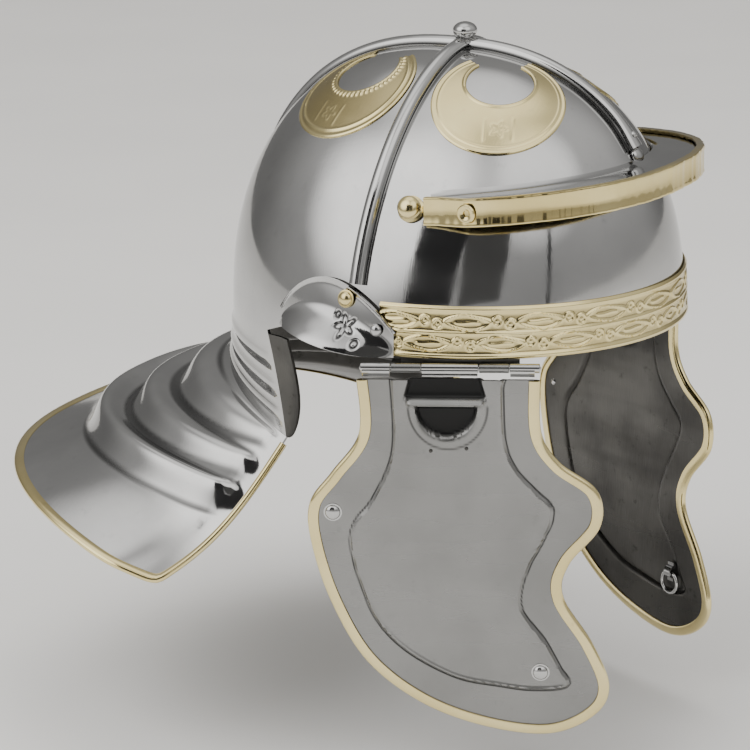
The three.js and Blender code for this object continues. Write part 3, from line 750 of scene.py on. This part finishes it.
# ---- Ribs and crescents -------------------------------------------------------------------------

RIB_WIDTH = 8.4
RIB_PROUD = 5.0
RIB_LEAN = 0.075
RIB_FRONT_Z = 84.0
RIB_REAR_Z = 3.0
SIDE_RIB_END_Z = 30.5


def rib(points, widen=None):
    """A half-round bar with a narrow flat foot along each side, laid on the bowl."""
    along = along_points(points)
    up = outward(points)
    side = unit(np.cross(along, up))
    turn = np.linspace(0, np.pi, 13)
    half = RIB_WIDTH / 2
    arch = [(half * 0.88 * math.cos(a), 0.9 + (RIB_PROUD - 0.9) * math.sin(a) ** 0.85) for a in turn]
    section = [(half, -0.2), (half, 0.8), *arch, (-half, 0.8), (-half, -0.2)]
    # Painted light: painted shade at the feet where the rib meets the bowl, painted highlight on its crest.
    painted_light = np.array([0.2, 0.3, 0.05, 0.4, *[0.9] * 9, 0.4, 0.05, 0.3, 0.2])
    scale = np.ones(len(points)) if widen is None else widen
    return swept(points, side * scale[:, None], up, section, painted_light)


def fore_aft_rib():
    shoulder = HEIGHT - 4
    climb = np.linspace(0, 1, 50)
    front = wall(0.0, RIB_FRONT_Z + (shoulder - RIB_FRONT_Z) * np.sin(np.pi / 2 * climb))
    over = roof(0.0, np.linspace(front[-1, 1], -front[-1, 1], 30)[1:-1])
    rear = wall(np.pi, RIB_REAR_Z + (shoulder - RIB_REAR_Z) * np.cos(np.pi / 2 * climb))
    points = spline(np.vstack([front, over, rear]), 190)
    share = np.linspace(0, 1, len(points))
    return rib(points, 1 + 0.35 * (1 - smooth(0.0, 0.06, share)))


def side_rib():
    out = 0.5 + 94.1 * np.sin(np.linspace(0, np.pi / 2, 70))
    points = roof(-out, CROWN_Y + RIB_LEAN * out)
    points = spline(points[points[:, 2] > SIDE_RIB_END_Z], 110)
    return rib(points)


CRESCENT_RADIUS = 32.8
CRESCENT_HOLE = 16.2
CRESCENT_SHIFT = 10.5
CRESCENT_OPENING = math.radians(54)
STAMP_RISE = 0.16


def crescent(centre, roped):
    """A thin brass crescent on the crown, horns upward, with a raised edge and a faint stamped flower
    between two lines; the roped one also has a beaded inner line."""
    middle = snapped(np.array([centre], float))[0]
    up = outward(middle)
    across = unit(np.cross(UP, up))
    crownward = np.cross(up, across)
    half = CRESCENT_OPENING / 2
    turn = np.linspace(np.pi / 2 + half, 2.5 * np.pi - half, 300)
    outer = CRESCENT_RADIUS * np.stack([np.cos(turn), np.sin(turn)], -1)
    aim = np.arctan2(outer[:, 1] - CRESCENT_SHIFT, outer[:, 0])
    inner = np.stack([CRESCENT_HOLE * np.cos(aim), CRESCENT_SHIFT + CRESCENT_HOLE * np.sin(aim)], -1)
    share = np.linspace(0, 1, 46)
    flat = outer[:, None] + (inner - outer)[:, None] * share[None, :, None]
    a, b = flat[..., 0], flat[..., 1]
    from_edge = CRESCENT_RADIUS - np.hypot(a, b)
    from_hole = np.hypot(a, b - CRESCENT_SHIFT) - CRESCENT_HOLE
    beads = 0.5 + 0.5 * np.cos(np.arctan2(b - CRESCENT_SHIFT, a) * 46)
    height = 0.55 * bump(from_edge - 0.9, 0.8) + 0.22 * bump(from_edge - 3.6, 0.5)
    height = height + 0.5 * bump(from_hole - 0.8, 0.6)
    if roped:
        height = height + 0.7 * bump(from_hole - 2.6, 0.9) * beads + 0.5 * bump(from_edge - 4.2, 0.6)
    low = -(CRESCENT_RADIUS + CRESCENT_HOLE - CRESCENT_SHIFT) / 2
    flower = np.hypot(a, b - low)
    petals = 3.0 + 1.1 * np.cos(5 * np.arctan2(b - low, a))
    height = height + STAMP_RISE * bump(flower - petals, 0.7)
    height = height + STAMP_RISE * bump(np.abs(a) - 6.6, 0.6) * smooth(7, 5, np.abs(b - low))
    spread = middle + across * a[..., None] + crownward * b[..., None]
    points = lifted(snapped(spread), 0.5 + 0.85 * height)
    # Painted light: painted highlight on the raised lines and flower, painted shade on the flat, more of it
    # on the roped crescent.
    painted_light = np.clip((0.3 if roped else 0.5) + 0.6 * height, 0, 1)
    return shell([(points, painted_light, False)], 0.7)


# ---- Ear guards ---------------------------------------------------------------------------------

EAR_REAR_Y = 44.0
EAR_FRONT_Y = -21.0
EAR_TOP = 32.0
EAR_ARCH_LEAN = 0.78
EAR_LIP = 13.0


def ear_point(along, down, extra=0.0):
    """along runs from the rear foot to the front foot, down from the arched top to the lip."""
    y = EAR_REAR_Y + (EAR_FRONT_Y - EAR_REAR_Y) * along
    angle = -np.arccos(np.clip(-y / HALF_LENGTH, -1, 1))
    top = 8 + (EAR_TOP - 8) * np.sin(np.pi * along**EAR_ARCH_LEAN) ** 0.7
    lip = 7 - 7 * smooth(0.1, 0.9, along)
    z = top + (lip - top) * down
    reach = EAR_LIP * np.sin(np.pi * along**0.8) ** 1.2
    fold = smooth(0.42, 1.12, down) ** 1.1 * 1.02
    return lifted(wall(angle, z), 2.6 + reach * fold + extra)


def ear_guard():
    along = np.linspace(0.02, 0.98, 130)[:, None]
    down = np.linspace(0, 1, 70)[None]
    along, down = np.broadcast_arrays(along, down)
    plain = ear_point(along, down)
    y, z = plain[..., 1], plain[..., 2]
    ry, rz = y - 4.0, z - 12.5
    flower = np.hypot(ry, rz)
    petals = 3.4 + 1.4 * np.cos(5 * np.arctan2(rz, ry))
    stamped = bump(flower - petals, 0.8) + bump(flower, 1.1)
    stamped = stamped + bump(np.hypot(y + 2.5, z - 5.5) - 1.5, 0.6)
    stamped = stamped + bump(np.hypot(y - 9, z - 17) - 1.2, 0.6)
    edge = bump(down, 0.05)
    points = ear_point(along, down, 0.9 * edge - 0.7 * stamped)
    # Painted light: painted highlight on the lip's edge, painted shade in the stamped flower and rings.
    painted_light = np.clip(0.6 + 0.3 * edge - 0.6 * stamped, 0, 1)
    return shell([(points, painted_light, False)], 1.2, flip=True, back_kind=INNER)


# ---- Cheek guards -------------------------------------------------------------------------------

HINGE = np.array([-92.0, -45.5, -3.6])
HINGE_YAW = math.radians(25)
TILT = math.radians(1.7)
BALANCE = -92.0
CHEEK_OUTLINE = [
    (-42.5, -5), (-42, -31), (-55, -50), (-65.5, -65), (-65.5, -84), (-57, -114), (-41, -144), (-16, -165),
    (14, -177), (45, -180.5), (66, -171), (73, -156), (65, -134), (51.5, -111), (54, -95), (68.5, -76),
    (67, -58), (50, -44.5), (41.5, -30), (41, -5),
]
PANEL_OUTLINE = [
    (-26, -3), (-25, -32), (-28, -48), (-36.5, -65), (-44, -75), (-46, -85.5), (-42, -104), (-34, -124),
    (-20, -139), (1.5, -151), (21, -155), (38, -157), (53, -155), (49, -146.5), (42, -133), (32, -119),
    (31, -108), (35, -95), (42, -81), (46, -68), (38.5, -59), (29, -48), (24, -34), (23, -9), (23, 6),
    (-26, 6),
]
PLATE_TOP = -4.6
HINGE_OUTER = 2.2
HINGE_BORE = 1.3
KNUCKLES = ((-41, -27.3), (-27, -13.3), (-13, 13), (13.3, 27), (27.3, 41))


def hinge_matrix():
    """Forward along the pin, up, and out from the cheek, as the three axes of the plate's own frame."""
    forward = Vector((math.sin(HINGE_YAW), -math.cos(HINGE_YAW), 0))
    out = forward.cross(Vector((0, 0, 1)))
    turn = Matrix((forward, Vector((0, 0, 1)), out)).transposed().to_4x4()
    return Matrix.Translation(Vector(HINGE)) @ turn


def hung_matrix():
    """The same frame, leaning in a little at the bottom about the plate's balance line."""
    lean = (Matrix.Translation((0, BALANCE, 0)) @ Matrix.Rotation(TILT, 4, "X")
            @ Matrix.Translation((0, -BALANCE, 0)))
    return hinge_matrix() @ lean


def inset_outline(points, inset):
    along = along_points(points)
    return points + inset * np.stack([-along[:, 1], along[:, 0]], -1)


PANEL_RISE = 1.1
RECESS_U = -2.3         # middle of the recess, along the plate
RECESS_V = -17.5        # level of the dish's straight upper edge
WINDOW_DEPTH = 2.6
FOLD_RISE = 2.2
DISH_DEPTH = 3.4


def cheek_height(u, v):
    """Height of the plate's embossing, and its painted light: painted shade along the panel's outline, in
    the window and dish and round the tab, painted highlight on the panel's edge and the fold.
    """
    flat = np.stack([u.ravel(), v.ravel()], -1)
    inside = signed_distance(flat, spline(PANEL_OUTLINE, 260)).reshape(u.shape)
    height = PANEL_RISE * smooth(-1.2, 1.2, inside) + 1.0 * bump(inside + 0.1, 0.9)
    # Painted shade just outside the panel's outline, painted highlight on its raised edge.
    painted_light = 0.6 - 0.55 * bump(inside + 1.5, 0.55) + 0.3 * bump(inside, 0.8)
    sides = (u - RECESS_U) / (15.4 + 0.27 * np.maximum(-2 - v, 0))
    window = smooth(1.06, 0.94, np.abs(sides)) * smooth(-14.2, -12.6, v) * smooth(-0.6, -2.0, v)
    height = height - WINDOW_DEPTH * window
    fold = smooth(18.6, 16.6, np.abs(u - RECESS_U)) * bump(v + 15.2, 1.9)
    height = height + FOLD_RISE * fold
    dish = np.hypot((u + 1.7) / 14.6, (v - RECESS_V) / 15.2)
    bowl_share = smooth(1.0, 0.86, dish) * smooth(-16.8, -18.2, v)
    height = height - DISH_DEPTH * bowl_share
    lip = bump((dish - 1.13) * 14, 1.0) * smooth(-16, -20, v)
    height = height + 0.3 * lip
    tab = np.hypot((u + 1.0) / 17.5, (v - RECESS_V) / 19.5)
    height = height + 0.6 * smooth(1.03, 0.97, tab) * smooth(-13, -16, v)
    # Painted shade in the window and the dish, painted highlight on the fold, and painted shade round the
    # tab.
    painted_light = painted_light - 0.58 * window - 0.6 * bowl_share + 0.3 * fold
    painted_light = painted_light - 0.4 * bump((tab - 1.04) * 16, 0.8) * smooth(-15, -18, v)
    return height, np.clip(painted_light, 0, 1)


def cheek_plate():
    """A row-by-row grid between the plate's rear and front edges, embossed as one sheet."""
    outline = inset_outline(spline(CHEEK_OUTLINE, 700), 2.6)
    low = int(np.argmin(outline[:, 1]))
    bottom = outline[low, 1]
    rows = 230
    depth = np.sin(np.linspace(0, np.pi / 2, rows))
    v = PLATE_TOP + (bottom + 0.05 - PLATE_TOP) * depth
    rear, front = outline[: low + 1], outline[low:]
    u_rear = np.interp(-v, -rear[:, 1], rear[:, 0])
    u_front = np.interp(-v, -front[::-1, 1], front[::-1, 0])
    share = np.linspace(0, 1, 140)
    u = u_rear[:, None] + (u_front - u_rear)[:, None] * share[None]
    v = np.broadcast_to(v[:, None], u.shape)
    height, painted_light = cheek_height(u, v)
    near_edge = np.minimum(u - u_rear[:, None], u_front[:, None] - u)
    height = height * smooth(0.0, 5.0, near_edge + 3.0)
    points = np.stack([u, v, 0.75 + height], -1)
    plate = shell([(points, painted_light, False)], SHEET, back_kind=INNER)
    if face_normals(plate.verts, plate.faces)[0, 2] < 0:
        plate = shell([(points, painted_light, False)], SHEET, flip=True, back_kind=INNER)
    plate.kinds[plate.kinds == STEEL] = DULL
    return plate.moved(hung_matrix())


def cheek_rolls():
    """The plate's top edge, rolled round the pin in three knuckles."""
    pieces = []
    for start, end in KNUCKLES[::2]:
        pieces.append(tube(start, end))
        width = np.linspace(max(start, -40.5) + 0.3, min(end, 39.0) - 0.3, 24)
        drop = np.linspace(0, 1, 10)
        rows = []
        for d in drop:
            rows.append(np.stack([width, np.full_like(width, -0.6 - 2.9 * d),
                                  np.full_like(width, 2.0 - 1.2 * smooth(0, 1, d))], -1))
        pieces.append(outward_facing(shell([(np.stack(rows, 1), None, False)], 0.9)))
    return joined(*pieces).moved(hinge_matrix())


def tube(start, end):
    """A knuckle round the pin."""
    soft = 0.25
    outer, bore = HINGE_OUTER, HINGE_BORE
    profile = [(bore, start + soft), (bore + soft, start), (outer - soft, start), (outer, start + soft),
               (outer, end - soft), (outer - soft, end), (bore + soft, end), (bore, end - soft),
               (bore, start + soft)]
    return lathe(profile, 28).moved(Matrix.Rotation(math.pi / 2, 4, "Y"))


def cheek_binding():
    outline = inset_outline(spline(CHEEK_OUTLINE, 360), 2.45)
    along = along_points(outline)
    at = np.column_stack([outline, np.zeros(len(outline))])
    across = np.column_stack([along[:, 1], -along[:, 0], np.zeros(len(outline))])
    out = np.tile((0.0, 0.0, 1.0), (len(outline), 1))
    return swept(at, across, out, C_SECTION, C_PAINTED_LIGHT).moved(hung_matrix())


def rounded_bar(low, high, soft=0.4):
    """A small block with its long edges rounded, along its first axis."""
    (x0, y0, z0), (x1, y1, z1) = low, high
    section = []
    for cy, cz, start in ((y1, z1, 0), (y0, z1, 90), (y0, z0, 180), (y1, z0, 270)):
        for step in (0, 45, 90):
            a = math.radians(start + step)
            section.append((cy - math.copysign(soft, cy - (y0 + y1) / 2) + soft * math.cos(a),
                            cz - math.copysign(soft, cz - (z0 + z1) / 2) + soft * math.sin(a)))
    at = np.stack([np.linspace(x0, x1, 4), np.zeros(4), np.zeros(4)], -1)
    return swept(at, np.tile((0.0, 1.0, 0.0), (4, 1)), np.tile((0.0, 0.0, 1.0), (4, 1)), section)


def hinge_leaf():
    """A leaf inside the bowl with a foot under the rim to each of its two knuckles."""
    start = math.atan2(-68 / HALF_WIDTH, 66 / HALF_LENGTH)
    end = math.atan2(-96 / HALF_WIDTH, 22 / HALF_LENGTH)
    angle = np.linspace(end, start, 40)[:, None]
    z = np.linspace(16, -3.4, 14)[None]
    leaf = shell([(lifted(wall(angle, z), -2.0), None, False)], 1.2)
    frame_in = hinge_matrix()
    feet = []
    for start_u, end_u in KNUCKLES[1::2]:
        feet.append(tube(start_u, end_u).moved(frame_in))
        feet.append(rounded_bar((start_u, -0.2, -11.5), (end_u, 1.1, -1.6)).moved(frame_in))
    heads = []
    for u in (-30, -10, 10, 30):
        spot = np.array(frame_in @ Vector((u, 11.0, 0)))
        on_wall = snapped(np.array([[spot[0], spot[1], 7.5]]))[0]
        normal = outward(on_wall)
        heads.append(standing(dome(2.2, 1.3), on_wall - normal * 3.1, -normal))
    return joined(leaf.with_kind(INNER), joined(*feet).with_kind(DULL), joined(*heads).with_kind(INNER))


def pin():
    soft = 0.3
    radius, half = 0.95, 41.5
    profile = [(0, -half), (radius - soft, -half), (radius, -half + soft), (radius, half - soft),
               (radius - soft, half), (0, half)]
    return lathe(profile, 24).moved(Matrix.Rotation(math.pi / 2, 4, "Y")).moved(hinge_matrix())


def on_plate(solid, u, v, outer=True):
    """A small piece that stands on the outer or inner face of the plate."""
    height, _ = cheek_height(np.array([[float(u)]]), np.array([[float(v)]]))
    level_z = 0.75 + float(height[0, 0]) if outer else -0.75 + float(height[0, 0])
    turn = Matrix.Identity(4) if outer else Matrix.Rotation(math.pi, 4, "X")
    return solid.moved(Matrix.Translation((u, v, level_z)) @ turn).moved(hung_matrix())


def tie_ring():
    loop = ring(5.6, 1.0).moved(Matrix.Translation((44, -152, -2.1)))
    strap = outward_facing(shell([(strap_points(), None, False)], 0.7))
    return joined(loop, strap).moved(hung_matrix())


def strap_points():
    """A small folded tab that holds the ring to the plate's inner face."""
    run = np.linspace(-1, 1, 25)
    rise = -1.0 - 2.7 * np.sqrt(np.clip(1 - (run / 0.55) ** 2, 0, 1)) * (np.abs(run) < 0.55)
    width = np.linspace(-2.2, 2.2, 7)
    return np.stack([np.stack([np.full_like(run, 44 + w), -146.4 + 5.0 * run, rise], -1) for w in width], 0)


# ---- Pieces -------------------------------------------------------------------------------------

make("helmet_bowl_shell", joined(bowl(), nape_flange(), nape_flange().mirrored()), ROOT, ["helmet_bowl"])
make("neck_guard_edge", neck_binding().with_kind(GOLD), ROOT, ["neck_guard_binding"])
make("brow_peak_plate", peak_plate(), ROOT, ["brow_peak"])
make("peak_edge_strip", peak_strip().with_kind(STRIP), ROOT, ["peak_strip"])
make("embossed_brow_band", brow_band().with_kind(GOLD), ROOT, ["brow_band"])
make("crown_rib_fore_aft", fore_aft_rib(), ROOT, ["fore_aft_rib"])


def on_bowl(solid, at, lift):
    at = np.asarray(at, float)
    return standing(solid, lifted(at, lift), outward(at))


knob_turn = np.linspace(-0.95, np.pi / 2, 14)
knob = lathe([(0, 0), (5.6, 0), (5.8, 0.8), (4.9, 1.5),
              *np.stack([5.9 * np.cos(knob_turn), 5.6 + 4.2 * np.sin(knob_turn)], -1)])
knob_floor = CAD_BOX[1][2] / MM - 0.3 - 9.8
knob = knob.moved(Matrix.Translation((0, CROWN_Y, knob_floor)))
make("crown_knob", knob, ROOT, ["crown_rivet"])
front_foot = joined(
    on_bowl(dome(4.3, 3.0), wall(0.0, 81.5), 0.3),
    on_bowl(dome(1.7, 1.3), lifted(wall(0.0, 88.5), 4.9), 0.0),
)
make("front_rib_rivet", front_foot, ROOT, ["rib_front_rivet"])

make_pair("crown_rib_side", side_rib(), ["side_rib"])
make_pair("front_crescent", crescent((-33.6, CROWN_Y - 36, 111), False).with_kind(GOLD), ["crescent_front"])
make_pair("rear_crescent", crescent((-33.6, CROWN_Y + 41.5, 110), True).with_kind(GOLD),
          ["crescent_rear"])
make_pair("ear_hood", ear_guard(), ["ear_guard"])


def rear_angle(y):
    return -math.acos(-y / HALF_LENGTH)


top_head = on_bowl(joined(dome(3.5, 2.9), lathe([(0, 0), (4.2, 0), (4.2, 0.5), (0, 0.9)])),
                   wall(rear_angle(5.0), 24.0), 3.3)
make_pair("ear_top_rivet", top_head.with_kind(GOLD), ["ear_guard_top_rivet"])
make_pair("ear_front_rivet", on_bowl(dome(2.8, 2.2), wall(rear_angle(-11.5), 11.8), 3.6),
          ["ear_guard_front_rivet"])
boss_turn = np.linspace(-0.5, np.pi / 2, 14)
boss = lathe([(0, 0), (6.3, 0), (6.3, 0.8), (5.2, 1.3),
              *np.stack([5.4 * np.cos(boss_turn), 3.9 + 3.3 * np.sin(boss_turn)], -1)])
make_pair("peak_side_boss", on_bowl(boss, wall(-math.radians(78), 65.0), 0.5).with_kind(GOLD),
          ["peak_boss"])

ring_angle = -(PEAK_SWEEP - math.radians(9.5))
spot = peak_rim(np.array([ring_angle, ring_angle + 0.02]))
facing = np.cross(spot[1] - spot[0], UP)
facing = unit(facing * (1, 1, 0))
ring_at = spot[0] + (0, 0, 1 - STRIP_HEIGHT / 2) + facing * 0.1
ring_head = lathe([
    (1.5, 0), (4.4, 0), (4.4, 0.7), (3.9, 1.3), (3.1, 1.4), (2.2, 0.9), (1.5, 0.5), (1.5, 0),
])
make_pair("peak_ring_head", standing(ring_head, ring_at, facing).with_kind(GOLD), ["peak_ring_rivet"])

make_pair("hinge_leaf", hinge_leaf(), ["cheek_hinge_leaf"])
make_pair("hinge_pin", pin(), ["cheek_hinge_pin"])
tiny = joined(on_plate(dome(0.9, 0.7), -9.0, -38.6), on_plate(dome(0.9, 0.7), 7.4, -37.4)).with_kind(INNER)
make_pair("cheek_guard_plate", joined(cheek_plate(), cheek_rolls(), tiny), ["cheek_plate"],
          True)
make_pair("cheek_guard_edge", cheek_binding().with_kind(GOLD), ["cheek_binding"], True)
head = joined(dome(3.6, 2.5), lathe([(0, 0), (4.3, 0), (4.3, 0.35), (0, 0.7)]))
for name, node, u, v in (("cheek_rear_head", "cheek_rear_rivet", -55, -69.5),
                         ("cheek_chin_head", "cheek_chin_rivet", 41, -148.5)):
    tail = dome(1.8, 0.7)
    make_pair(name, joined(on_plate(head, u, v), on_plate(tail, u, v, False)), [node], True)
make_pair("chin_tie_ring", tie_ring(), ["tie_ring"], True)

# ---- Floor, light and camera --------------------------------------------------------------------


def plain(name, colour, rough):
    n = Finish(name)
    shade = n.mix(n.ramp(n.noise(5, 2), 0.3, 0.7), colour, tuple(c * 0.97 for c in colour))
    n.join(shade, n.shader.inputs["Base Color"])
    n.shader.inputs["Roughness"].default_value = rough
    return n.material


def card(name, size, at, aim, material):
    """A flat panel that faces a point."""
    mesh = bpy.data.meshes.new(name)
    w, h = size[0] / 2, size[1] / 2
    mesh.from_pydata([(-w, -h, 0), (w, -h, 0), (w, h, 0), (-w, h, 0)], [], [(0, 1, 2, 3)])
    mesh.materials.append(material)
    panel = bpy.data.objects.new(name, mesh)
    bpy.context.scene.collection.objects.link(panel)
    place_facing(panel, at, aim)
    return panel


def place_facing(obj, at, aim):
    obj.location = at
    obj.rotation_euler = (Vector(at) - Vector(aim)).to_track_quat("Z", "Y").to_euler()


FLOOR_Z = CAD_BOX[0][2] - 0.03
card("floor", (14, 14), (0, 0, FLOOR_Z), (0, 0, FLOOR_Z - 1), plain("floor_pale", (0.72, 0.71, 0.69), 0.8))
BLACK = plain("flag_black", (0.02, 0.02, 0.022), 0.9)
GREY = plain("flag_grey", (0.09, 0.09, 0.09), 0.9)

AIM = Vector((0, 0, 0))


def softbox(name, size, at, power):
    """Lights the floor and shapes the shadow; what the metal mirrors is the sky."""
    data = bpy.data.lights.new(name, "AREA")
    data.shape = "RECTANGLE"
    data.size, data.size_y = size
    data.energy = power
    light = bpy.data.objects.new(name, data)
    bpy.context.scene.collection.objects.link(light)
    place_facing(light, at, AIM)
    light.visible_glossy = False


softbox("key", (1.6, 1.2), (-1.3, 0.5, 1.5), 26)
softbox("front_fill", (1.4, 1.4), (-0.6, -1.9, 1.1), 16)
softbox("top", (1.2, 1.2), (0.4, 0.1, 1.9), 12)


def flag(name, turn, rise, size, material=BLACK):
    """A dark panel beside the lens, seen only in the metal."""
    turn, rise = math.radians(turn), math.radians(rise)
    at = Vector((-math.cos(turn) * math.cos(rise), -math.sin(turn) * math.cos(rise), math.sin(rise)))
    panel = card(name, size, at, AIM, material)
    panel.visible_camera = False
    panel.visible_diffuse = False
    panel.visible_shadow = False
    return panel


flag("flag_dark", 2, 25, (0.34, 0.66))
flag("flag_grey", 24, 24, (0.34, 0.66), GREY)
flag("flag_line", 57, 14, (0.035, 0.5))

# Soft bright panels of the sky: direction, where each starts and is full, and strength.
SKY_PANELS = (
    ((-0.72, 0.42, 0.62), 0.80, 0.97, 1.6),
    ((-0.45, -0.62, 0.85), 0.84, 0.98, 0.9),
    ((0.1, 0.2, 1.0), 0.86, 0.98, 0.8),
)
BEHIND = (0.82, 0.55, 0.1)


def studio_sky():
    """A pale sky that falls off toward the floor and behind the helmet, with three soft bright panels."""
    world = bpy.data.worlds.new("studio")
    bpy.context.scene.world = world
    world.use_nodes = True
    sky = Tree(world.node_tree)
    place = sky.add("ShaderNodeTexCoord").outputs["Generated"]

    def toward(direction):
        node = sky.add("ShaderNodeVectorMath", operation="DOT_PRODUCT")
        sky.join(place, node.inputs[0])
        node.inputs[1].default_value = Vector(direction).normalized()
        return node.outputs["Value"]

    high = sky.ramp(toward((0, 0, 1)), -0.05, 0.9, 0.38, 0.72)
    strength = sky.maths("MULTIPLY", high, sky.ramp(toward(BEHIND), 0.1, 0.75, 1.0, 0.5))
    for direction, start, full, light in SKY_PANELS:
        strength = sky.maths("ADD", strength, sky.ramp(toward(direction), start, full, 0.0, light))
    background = world.node_tree.nodes["Background"]
    sky.join(strength, background.inputs["Strength"])
    background.inputs["Color"].default_value = (1.0, 0.985, 0.96, 1)


studio_sky()

CAMERA_TURN = 0.5215        # radians from straight beside the wearer's right toward the front
CAMERA_RISE = 0.2915
CAMERA_ROLL = -0.0186
CAMERA_DISTANCE = 1.5
CAMERA_LENS = 144
CAMERA_AIM = Vector((0, 0.0468, -0.0440))

camera_data = bpy.data.cameras.new("camera")
camera_data.lens = CAMERA_LENS
camera = bpy.data.objects.new("camera", camera_data)
bpy.context.scene.collection.objects.link(camera)
level_reach = math.cos(CAMERA_RISE)
back = Vector((-math.cos(CAMERA_TURN) * level_reach, -math.sin(CAMERA_TURN) * level_reach,
               math.sin(CAMERA_RISE)))
right = Vector((math.sin(CAMERA_TURN), -math.cos(CAMERA_TURN), 0))
above = back.cross(right)
camera_x = right * math.cos(CAMERA_ROLL) + above * math.sin(CAMERA_ROLL)
camera_y = above * math.cos(CAMERA_ROLL) - right * math.sin(CAMERA_ROLL)
turn = Matrix((camera_x, camera_y, back)).transposed().to_4x4()
camera.matrix_world = Matrix.Translation(CAMERA_AIM + back * CAMERA_DISTANCE) @ turn
bpy.context.scene.camera = camera
